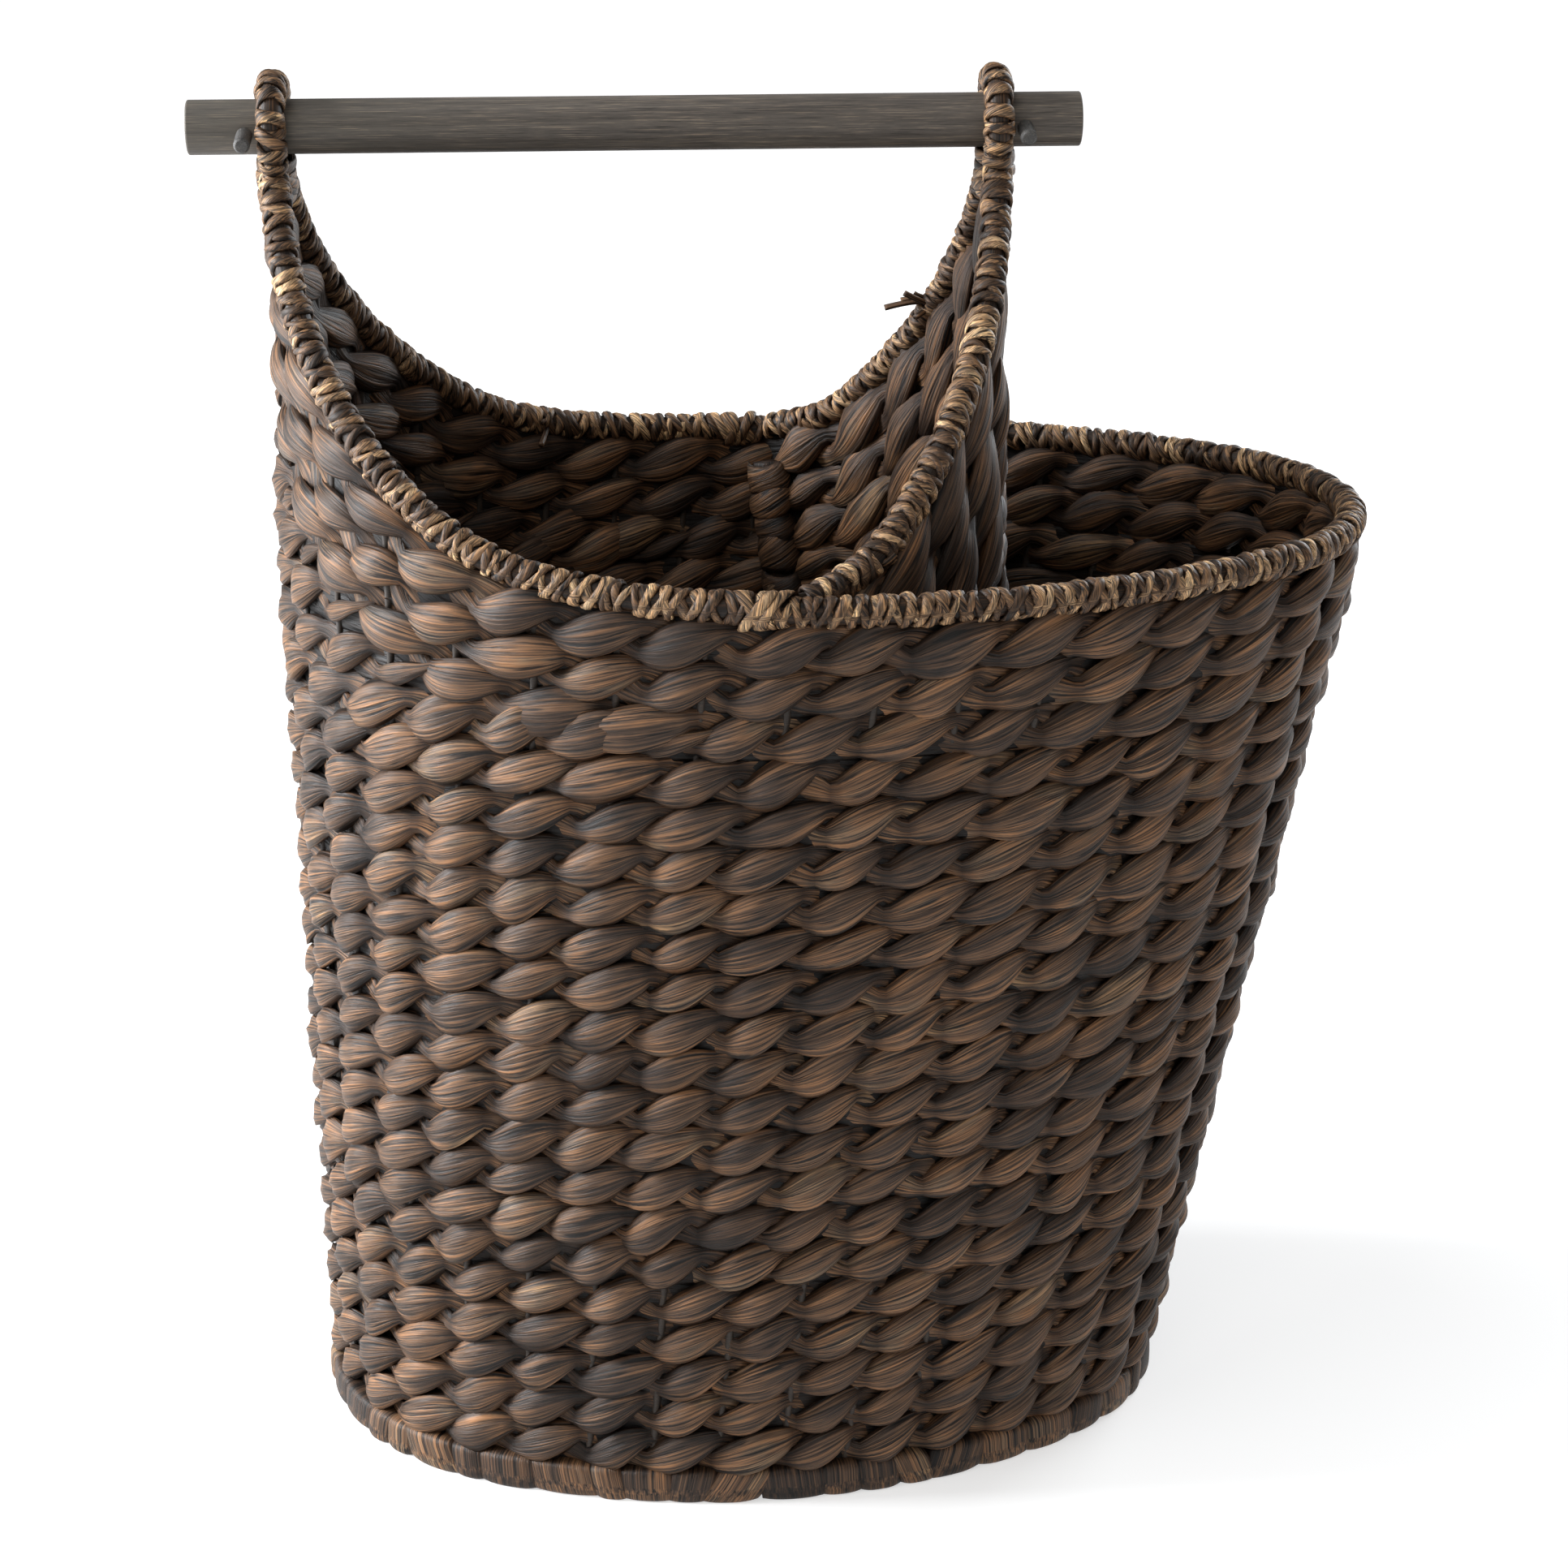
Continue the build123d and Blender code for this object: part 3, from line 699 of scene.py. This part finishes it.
wallPlan = {
    "seed": 11,
    "samples": 720,
    "followRows": 3,         # top courses that climb with the rims
    "followSize": 1.04,
    "shortRows": 9,          # at most, in the wedge under them
    "fewest": 12,            # samples in the shortest
    "shortTaper": 1.2,       # half twists that an end thins over
    "startSpread": 0.06,     # half twists
}
turns = np.linspace(0, 1, wallPlan["samples"], endpoint=False)
rng = np.random.default_rng(wallPlan["seed"])
topCount = wallPlan["followRows"]
plainRows = body["courses"] - topCount
rowSize = coursePitch / twist["rowHeight"]
rimSpacing = planTotal / body["stakes"]

for row in range(plainRows):
    heap = Heap()
    height = courseFoot + (row + 0.5) * coursePitch
    points, normals = wallAt(turns, height)
    fillBand(heap, points, normals, closed=True)
    phase = wallPlan["startSpread"] * rng.normal()
    twine(heap, points, normals, rimSpacing * wallScale(height), rng, closed=True, size=rowSize, phase=phase)
    level = f"{row + 1:02d}"
    heap.piece("wallCourse" + level, stalk, replaces=["wall_course_" + level], slot="twined_stalk")


def thinner(path):
    # courses get flatter towards the peaks
    return 1 - body["peakThinning"] * np.clip((path[:, 2] - rimHeight) / body["thinningRise"], 0, 1)


def followHeight(turn, below):
    # height of a course that keeps its distance under the rims
    flat, normals = planAt(turn)
    x, y = flat[:, 0] + rimShift, flat[:, 1] - halfWall * normals[:, 1]
    rim = np.where(x < splitX, rimLineHeight(y, body["peakRound"]), rimHeight)
    return lineBelow(turn * planTotal, rim, below, planTotal)


firstBelow = body["rimWrap"] * body["firstRow"]
for k in range(topCount):
    row = body["courses"] - 1 - k
    heap = Heap()
    below = firstBelow + (k + 0.5) * coursePitch
    points, normals = wallAt(turns, followHeight(turns, below))
    fillBand(heap, points, normals, closed=True)
    size = wallPlan["followSize"] * rowSize
    twine(heap, points, normals, rimSpacing, rng, closed=True, size=size, flat=thinner)
    level = f"{row + 1:02d}"
    heap.piece("wallCourse" + level, stalk, replaces=["wall_course_" + level], slot="twined_stalk")

# short courses fill the wedge between the level ones and the ones that climb
lastBelow = firstBelow + topCount * coursePitch
lap = body["rowLap"] * coursePitch
flat, _ = planAt(turns)
leftOfSplit = flat[:, 0] + rimShift < splitX
hornNodes = [f"horn_course_{i:02d}" for i in range(1, 5)]
for j in range(wallPlan["shortRows"]):
    height = courseFoot + (plainRows + j + 0.5) * coursePitch
    room = followHeight(turns, lastBelow) - height
    where = turns[(room > -lap) & leftOfSplit]
    if len(where) < wallPlan["fewest"]:
        break
    points, normals = wallAt(where, height)
    heap = Heap()
    fillBand(heap, points, normals)
    twine(heap, points, normals, rimSpacing, rng, size=rowSize, taper=wallPlan["shortTaper"], flat=thinner)
    heap.piece(f"hornCourse{j + 1:02d}", stalk, replaces=hornNodes[j:j + 1], slot="twined_stalk")
print("wall woven")


dividerPlan = {
    "seed": 23,
    "spacing": 29 * mm,      # between crossings
    "archSpacing": 36 * mm,
    "samples": 240,
    "groups": 7,             # pieces that the level courses are gathered into
    "followRows": 4,         # top courses that climb with the rims
    "followSize": 1.04,
    "shortRows": 8,          # at most, in the wedge under them
    "shortSamples": 400,
    "fewest": 16,            # samples in the shortest
    "seat": 0.72,            # share of the wall's thickness that an end reaches into
    "taper": 0.6,            # half twists that an end thins over
    "shortTaper": 1.0,
}
rng = np.random.default_rng(dividerPlan["seed"])
dividerRows = body["courses"] - dividerPlan["followRows"]
dividerHeaps = [Heap() for _ in range(dividerPlan["groups"])]
insideWall = body["wall"] * dividerPlan["seat"]
for row in range(dividerRows):
    height = courseFoot + (row + 0.5) * coursePitch
    limit = dividerLimit(height, insideWall)
    points, normals = dividerAt(np.linspace(-limit, limit, dividerPlan["samples"]), height)
    heap = dividerHeaps[row * dividerPlan["groups"] // dividerRows]
    fillBand(heap, points, normals)
    twine(heap, points, normals, dividerPlan["spacing"], rng, taper=dividerPlan["taper"])
for k, heap in enumerate(dividerHeaps):
    level = f"{k + 1:02d}"
    heap.piece("dividerCourse" + level, stalk, replaces=["divider_course_" + level], slot="twined_stalk")


def archHeight(angle, below):
    # the same for a course on the divider
    rim = rimLineHeight(body["dividerRadius"] * np.sin(angle), body["peakRound"])
    return lineBelow(angle * body["dividerRadius"], rim, below)


archHeaps = []
for k in range(dividerPlan["followRows"]):
    below = firstBelow + (k + 0.5) * coursePitch
    limit = dividerLimit(rimHeight - below, insideWall)
    angle = np.linspace(-limit, limit, dividerPlan["samples"])
    points, normals = dividerAt(angle, archHeight(angle, below))
    heap = Heap()
    fillBand(heap, points, normals)
    twine(heap, points, normals, dividerPlan["archSpacing"], rng, size=dividerPlan["followSize"],
          taper=dividerPlan["taper"], flat=thinner)
    archHeaps.append(heap)
lastBelow = firstBelow + dividerPlan["followRows"] * coursePitch
for j in range(dividerPlan["shortRows"]):
    height = courseFoot + (dividerRows + j + 0.5) * coursePitch
    limit = dividerLimit(min(height, rimHeight), insideWall)
    angle = np.linspace(-limit, limit, dividerPlan["shortSamples"])
    angle = angle[archHeight(angle, lastBelow) - height > -lap]
    if len(angle) < dividerPlan["fewest"]:
        break
    points, normals = dividerAt(angle, height)
    heap = archHeaps[min(j, len(archHeaps) - 1)]
    fillBand(heap, points, normals)
    twine(heap, points, normals, dividerPlan["spacing"], rng, taper=dividerPlan["shortTaper"])

# upright wrapped stakes hold the divider's ends to the wall
edgePlan = {
    "radius": 8.2 * mm,
    "inward": 8 * mm,
    "pitch": 11.0 * mm,
    "width": 14.0 * mm,
    "thickness": 2.6 * mm,
    "lean": 1.5 * mm,
    "squashUp": 1.15,
    "loose": 0.6 * mm,
}
edgeCore = edgePlan["radius"] - 2 * mm
edgeFromWall = body["wall"] + 0.3 * edgePlan["radius"]
edgeLevels = np.linspace(matHigh.z, rimHeight - body["rimWrap"], 60)
for side, word in ((-1, "Front"), (1, "Back")):
    points = np.zeros((len(edgeLevels), 3))
    normals = np.zeros_like(points)
    for i, height in enumerate(edgeLevels):
        spot, outward = dividerAt(side * dividerLimit(height, edgeFromWall), height)
        points[i], normals[i] = spot[0], outward[0]
    points[:, 0] -= edgePlan["inward"]
    heap = Heap()
    coreTube(heap, points, normals, edgeCore, edgeCore)
    windTurns(heap, points, normals, rng, edgePlan)
    heap.piece(f"dividerEdge{word}", stalk, slot="twined_stalk")

for k, heap in enumerate(archHeaps):
    heap.piece(f"archCourse{k + 1:02d}", stalk, replaces=[f"arch_course_{k + 1:02d}"], slot="twined_stalk")
print("divider woven")


rimWind = {
    "seed": 31,
    "radius": 5.8 * mm,
    "pitch": 2.8 * mm,
    "width": 3.7 * mm,
    "thickness": 2.2 * mm,
    "lean": 3.0 * mm,
}
rimCore = rimWind["radius"] - 1.4 * mm
rimSamples = 300
rng = np.random.default_rng(rimWind["seed"])


def windRim(name, points, normals, replaced):
    heap = Heap()
    coreTube(heap, points, normals, rimCore, rimCore)
    windTurns(heap, points, normals, rng, rimWind)
    heap.piece(name, strip, replaces=[replaced], slot="rim_wrap")


flat, _ = planAt(turnTable)
planX = flat[:, 0] + rimShift
frontStart = turnTable[(turnTable > 0.5) & (planX >= splitX)].min()
backEnd = turnTable[(turnTable < 0.5) & (planX >= splitX)].max()
lowTurns = np.linspace(frontStart - 1, backEnd, 500)
points, normals = wallAt(lowTurns, rimHeight)
windRim("lowRimWrap", points, normals, "low_rim")


def slopingPath(onDivider, side):
    # the rim's middle from the horn tip down to the low rim
    y0 = body["hornHalfWidth"]
    if onDivider:
        limit = dividerLimit(rimHeight, halfWall + 0.5 * body["rimWrap"])
        angle = side * np.linspace(np.arcsin(y0 / body["dividerRadius"]), limit, rimSamples)
        y = body["dividerRadius"] * np.sin(angle)
        return dividerAt(angle, rimLineHeight(y))
    table = turnTable[(turnTable > 0.25) & (turnTable < 0.75)]
    spots, _ = planAt(table)
    ys = spots[:, 1]
    tip = table[np.argmin(np.abs(ys - side * y0))]
    end = backEnd if side > 0 else frontStart
    path = np.linspace(tip, end, rimSamples)
    spots, normals = planAt(path)
    return wallAt(path, rimLineHeight(spots[:, 1] - halfWall * normals[:, 1]))


for side, word in ((-1, "front"), (1, "back")):
    points, normals = slopingPath(False, side)
    windRim(f"leftRim{word.title()}Wrap", points, normals, f"left_rim_{word}")
    points, normals = slopingPath(True, side)
    windRim(f"archRim{word.title()}Wrap", points, normals, f"arch_rim_{word}")
print("rims wound")


loopWind = {
    "radius": 5.5 * mm,
    "pitch": 3.0 * mm,
    "width": 4.2 * mm,
    "thickness": 1.9 * mm,
    "lean": 2.4 * mm,
    "tones": (0.3, 1.0),
}
loopCore = loopWind["radius"] - 1.2 * mm
loopPinch = 8.5 * mm                # half gap between the legs where they leave the rims
loopLegEnd = 5 * mm                 # below the bar's middle
loopSamples = 260
lashWind = {
    "radius": 10 * mm,
    "pitch": 2.2 * mm,
    "width": 4.2 * mm,
    "thickness": 1.7 * mm,
    "lean": 2.4 * mm,
    "squashOut": 0.72,
    "squashUp": 1.35,
    "loose": 0.9 * mm,
}
lashPath = {"below": 3 * mm, "short": 0.5 * mm, "samples": 60}


def loopPath(loopX):
    # from the back horn tip over the bar to the front horn tip, in the YZ plane
    eye = (leftLoopHigh.y - leftLoopLow.y) / 2 - (leftLoopHigh.x - leftLoopLow.x) / 2
    pinchZ = body["hornHeight"] + (body["hornHalfWidth"] - loopPinch) * tan(rimSlope)
    corners = [(body["hornHalfWidth"], body["hornHeight"]), (loopPinch, pinchZ),
               (eye, barZ - loopLegEnd), (eye, barZ)]
    arc = [(eye * cos(a), barZ + eye * sin(a)) for a in np.linspace(0, pi, 25)[1:-1]]
    spots = np.array(corners + arc + [(-y, z) for y, z in corners[::-1]])
    along = np.concatenate([[0], np.cumsum(np.linalg.norm(np.diff(spots, axis=0), axis=1))])
    where = np.linspace(0, along[-1], loopSamples)
    y, z = np.interp(where, along, spots[:, 0]), np.interp(where, along, spots[:, 1])
    for values in (y, z):
        values[smoothSpan:-smoothSpan] = np.convolve(values, smoothKernel, "valid")
    points = np.column_stack([np.full(len(y), loopX), y, z])
    normals = np.tile([1.0, 0.0, 0.0], (len(y), 1))
    return points, normals


for loopX, word in ((leftLoopX, "left"), (rightLoopX, "right")):
    heap = Heap()
    points, normals = loopPath(loopX)
    # the loop's core under its turns is darkened as painted shade
    coreTube(heap, points, normals, loopCore, loopCore, shade=0.6)
    windTurns(heap, points, normals, rng, loopWind)
    heap.piece(f"{word}LoopWrap", strip, replaces=[f"{word}_loop"], slot="rim_wrap")
    low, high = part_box(f"{word}_lashing")
    heap = Heap()
    heights = np.linspace(low.z - lashPath["below"], high.z - lashPath["short"], lashPath["samples"])
    points = np.column_stack([np.full(len(heights), loopX), np.zeros(len(heights)), heights])
    normals = np.tile([1.0, 0.0, 0.0], (len(heights), 1))
    windTurns(heap, points, normals, rng, lashWind)
    heap.piece(f"{word}LashingWrap", strip, replaces=[f"{word}_lashing"], slot="binding")

tieWind = {
    "radius": 7.0 * mm,
    "pitch": 3.0 * mm,
    "width": 4.6 * mm,
    "thickness": 1.5 * mm,
    "lean": 5.5 * mm,
    "tones": (0.6, 1.0),
}
tieReach = 6 * mm / planTotal
tieRise = 0.8 * mm
for middle, word in ((frontStart, "front"), (backEnd, "back")):
    heap = Heap()
    points, normals = wallAt(np.linspace(middle - tieReach, middle + tieReach, 40), rimHeight + tieRise)
    windTurns(heap, points, normals, rng, tieWind)
    heap.piece(f"{word}TieWrap", strip, replaces=[f"{word}_tie"], slot="binding")


# cut strip ends that leave the rims in tufts: where they start along a rim, and which way they point
tufts = {
    "archRimEnds": {
        "onDivider": True, "side": 1, "sample": 115, "towards": (-0.8, -0.5, 0.35),
        "seed": 5, "count": 6, "length": 10 * mm, "width": 4.5 * mm,
    },
    "archRimFrontEnds": {
        "onDivider": True, "side": -1, "sample": 240, "towards": (0.5, -0.6, -0.2),
        "seed": 6, "count": 2, "length": 6 * mm, "width": 3 * mm,
    },
    "leftRimEnds": {
        "onDivider": False, "side": 1, "sample": 200, "towards": (0.2, -0.8, -0.6),
        "seed": 8, "count": 3, "length": 9 * mm, "width": 3 * mm,
    },
}
endPlan = {"samples": 16, "spread": 0.35, "bend": 0.5, "scatter": 1.5 * mm, "halfThick": 1.1 * mm}


def looseEnds(name, tuft):
    rng = np.random.default_rng(tuft["seed"])
    heap = Heap()
    points, _ = slopingPath(tuft["onDivider"], tuft["side"])
    towards = np.array(tuft["towards"]) / np.linalg.norm(tuft["towards"])
    across = np.tile(np.cross(towards, [0.1, 0.2, 1.0]), (endPlan["samples"], 1))
    share = np.linspace(0, 1, endPlan["samples"])[:, None]
    for _ in range(tuft["count"]):
        heading = towards + rng.normal(0, endPlan["spread"], 3)
        bend = rng.normal(0, endPlan["bend"], 3)
        reach = tuft["length"] * rng.uniform(0.6, 1.1)
        start = points[tuft["sample"]] + rng.normal(0, endPlan["scatter"], 3)
        path = start + reach * (share * heading + share ** 2 * bend)
        halfWide = 0.45 * tuft["width"] * rng.uniform(0.7, 1.3)
        coreTube(heap, path, across, halfWide, endPlan["halfThick"], tone=0.6 * rng.random(), shade=0.75,
                 count=endPlan["samples"])
    heap.piece(name, strip, slot="rim_wrap")


for name, tuft in tufts.items():
    looseEnds(name, tuft)
print("loops, lashings, ties and loose ends made")


footPlan = {
    "seed": 41,
    "wraps": 50,
    "widths": (0.55, 1.35),  # spread of the wraps' widths, as a share
    "overlap": 0.06,
    "bulge": 1.4 * mm,       # of a wrap's middle
    "tuck": 0.25 * mm,       # of a wrap's edges
    "lean": 1.2 * mm,
    "squareness": 0.45,      # nearer 0 is a squarer section
    "sides": 28,
    "stations": 11,
    "clearance": 0.05 * mm,  # above the surface it stands on
}


def footRing():
    rng = np.random.default_rng(footPlan["seed"])
    heap = Heap()
    widths = rng.uniform(*footPlan["widths"], footPlan["wraps"])
    edges = np.concatenate([[0], np.cumsum(widths)]) / widths.sum()
    section = np.linspace(0, 2 * pi, footPlan["sides"], endpoint=False)
    share = np.linspace(-1, 1, footPlan["stations"])
    boxOut, boxUp = (np.sign(wave) * np.abs(wave) ** footPlan["squareness"]
                     for wave in (np.cos(section), np.sin(section)))
    for k in range(footPlan["wraps"]):
        start, end = edges[k], edges[k + 1]
        slack = (end - start) * footPlan["overlap"]
        path = np.linspace(start - slack, end + slack, footPlan["stations"])
        points, normals = wallAt(path, courseFoot / 2)
        tangent, out, up = frames(points, normals, False)
        puff = (1 - np.abs(share) ** 2.5) * footPlan["bulge"] * (0.6 + 0.8 * rng.random()) - footPlan["tuck"]
        lean = rng.normal(0, footPlan["lean"])
        halfOut = halfWall + puff
        halfUp = courseFoot / 2 + puff * 0.7
        grid = (points[:, None] + out[:, None] * (boxOut[None] * halfOut[:, None])[..., None]
                + up[:, None] * (boxUp[None] * halfUp[:, None])[..., None]
                + tangent[:, None] * (lean * boxUp)[None, :, None])
        grid[..., 2] = np.maximum(grid[..., 2], footPlan["clearance"])
        fibre = np.zeros(grid.shape)
        fibre[..., 0] = (section * halfWall)[None] + rng.random() * fibreRange["strip"]
        fibre[..., 1] = (share * (end - start) / 2 * planTotal)[:, None]
        # painted shade: each wrap is darkened near its two ends, in the gaps between wraps
        heap.tube(grid, fibre, rng.random(), False, (1 - 0.85 * np.abs(share) ** 7)[:, None])
    return heap


footRing().piece("footWrap", band, replaces=["base_ring"], slot="ring_wrap")

matPlan = {
    "seed": 43,
    "pitch": 11.5 * mm,      # between the floor's rows
    "spacing": 26 * mm,      # between crossings
    "edge": 0.9,             # inset from the wall's outer face, as a share of the wall
    "edgeHeight": 6 * mm,    # where that inset is taken
    "nearby": 2 * mm,
    "samples": 80,
    "size": 0.74,
    "flat": 0.8,
    "taper": 0.5,
}
heap = Heap()
rng = np.random.default_rng(matPlan["seed"])
edge, _ = wallAt(turnTable, matPlan["edgeHeight"], -body["wall"] * matPlan["edge"])
rowCount = int((edge[:, 1].max() * 2) / matPlan["pitch"])
for k in range(rowCount):
    y = (k - (rowCount - 1) / 2) * matPlan["pitch"]
    near = edge[np.abs(edge[:, 1] - y) < matPlan["nearby"], 0]
    points = np.full((matPlan["samples"], 3), y)
    points[:, 0] = np.linspace(near.min(), near.max(), matPlan["samples"])
    points[:, 2] = (matLow.z + matHigh.z) / 2
    normals = np.tile([0.0, 0.0, 1.0], (matPlan["samples"], 1))
    twine(heap, points, normals, matPlan["spacing"], rng, size=matPlan["size"], flat=matPlan["flat"],
          taper=matPlan["taper"])
heap.piece("floorMat", stalk, replaces=["floor_mat"], slot="floor_weave")
print("foot and floor made")

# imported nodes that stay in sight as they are
carriedOver = {
    "handle_bar": barWood, "left_peg": pegWood, "right_peg": pegWood,
    "base_hoop": cane, "rim_cores": cane, "wall_stakes": cane, "divider_stakes": cane,
}
for name, material in carriedOver.items():
    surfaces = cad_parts[name].data.materials
    surfaces.clear()
    surfaces.append(material)

studio = {
    "cameraAt": (-44.66 * mm, -1270.84 * mm, 670.52 * mm),
    "pitch": 18.366, "yaw": 2.86, "roll": 0.207,        # degrees
    "focal": 4200 / 1932 * 36,                          # on a 36 mm wide sensor
    "floorColour": 0.5,
    "glowNear": 0.56,
    "glowFar": 0.75,
    "glowEdges": (0.7, 1.9),                            # metres from the middle
    "floorReach": 9.0,
    "world": 0.27,
}
sunLook = {"towards": (0.55, 0.16, -1.0), "strength": 1.3, "angle": 42}
areaLights = {
    "frontKey": {
        "at": (-0.7, -2.3, 1.9), "towards": (0, 0, 0.25), "size": (1.1, 1.1),
        "power": 13, "colour": (1.0, 0.94, 0.86),
    },
    "windowLeft": {
        "at": (-2.0, 0.1, 0.9), "towards": (0, 0, 0.3), "size": (0.8, 1.4),
        "power": 132, "colour": (0.95, 0.97, 1.0),
    },
    "backEdge": {
        "at": (1.4, 1.5, 1.1), "towards": (0, 0, 0.3), "size": (1.0, 1.2),
        "power": 38, "colour": (0.92, 0.96, 1.0),
    },
}


def placeCamera():
    pitch, yaw, roll = (radians(studio[k]) for k in ("pitch", "yaw", "roll"))
    ahead = np.array([sin(yaw) * cos(pitch), cos(yaw) * cos(pitch), -sin(pitch)])
    right = np.array([cos(yaw), -sin(yaw), 0.0])
    up = np.cross(right, ahead)
    right, up = right * cos(roll) - up * sin(roll), right * sin(roll) + up * cos(roll)
    camera = bpy.data.objects.new("camera", bpy.data.cameras.new("camera"))
    camera.data.sensor_width = 36
    camera.data.lens = studio["focal"]
    camera.data.clip_end = 100
    camera.matrix_world = Matrix((
        (right[0], up[0], -ahead[0], studio["cameraAt"][0]),
        (right[1], up[1], -ahead[1], studio["cameraAt"][1]),
        (right[2], up[2], -ahead[2], studio["cameraAt"][2]),
        (0, 0, 0, 1),
    ))
    bpy.context.scene.collection.objects.link(camera)
    bpy.context.scene.camera = camera


def newLight(name, kind, power, aim):
    light = bpy.data.objects.new(name, bpy.data.lights.new(name, kind))
    light.data.energy = power
    light.rotation_euler = aim.to_track_quat("-Z", "Y").to_euler()
    bpy.context.scene.collection.objects.link(light)
    return light


placeCamera()
sun = newLight("skylight", "SUN", sunLook["strength"], Vector(sunLook["towards"]))
sun.data.angle = radians(sunLook["angle"])
for name, look in areaLights.items():
    light = newLight(name, "AREA", look["power"], Vector(look["towards"]) - Vector(look["at"]))
    light.data.shape = "RECTANGLE"
    light.data.size, light.data.size_y = look["size"]
    light.data.color = look["colour"]
    light.location = look["at"]

world = bpy.data.worlds.new("studio")
world.use_nodes = True
sky = world.node_tree.nodes["Background"]
sky.inputs["Color"].default_value = (1, 1, 1, 1)
sky.inputs["Strength"].default_value = studio["world"]
bpy.context.scene.world = world

floorReach = studio["floorReach"]
corners = [(x * floorReach, y * floorReach, 0) for x, y in ((-1, -1), (1, -1), (1, 1), (-1, 1))]
floorMesh = bpy.data.meshes.new("studioFloor")
floorMesh.from_pydata(corners, [], [(0, 1, 2, 3)])
floorObject = bpy.data.objects.new("studioFloor", floorMesh)
bpy.context.scene.collection.objects.link(floorObject)
pale, paleTree, paleShader = newFinish("pale floor")
paleShader.inputs["Base Color"].default_value = (*[studio["floorColour"]] * 3, 1)
paleShader.inputs["Roughness"].default_value = 0.9
# painted light: the floor glows though it is no lamp, less near the middle and more away from it, so the far
# floor reads white while the basket's shadow near it stays
paleShader.inputs["Emission Color"].default_value = (1, 1, 1, 1)
spot = node(paleTree, "ShaderNodeTexCoord").outputs["Object"]
away = node(paleTree, "ShaderNodeVectorMath", operation="LENGTH")
paleTree.links.new(spot, away.inputs[0])
glow = node(paleTree, "ShaderNodeMapRange")
paleTree.links.new(away.outputs["Value"], glow.inputs["Value"])
for word, value in zip(("From Min", "From Max", "To Min", "To Max"),
                       (*studio["glowEdges"], studio["glowNear"], studio["glowFar"])):
    glow.inputs[word].default_value = value
paleTree.links.new(glow.outputs["Result"], paleShader.inputs["Emission Strength"])
floorMesh.materials.append(pale)
bpy.context.scene.view_settings.view_transform = "Standard"

print("studio set")
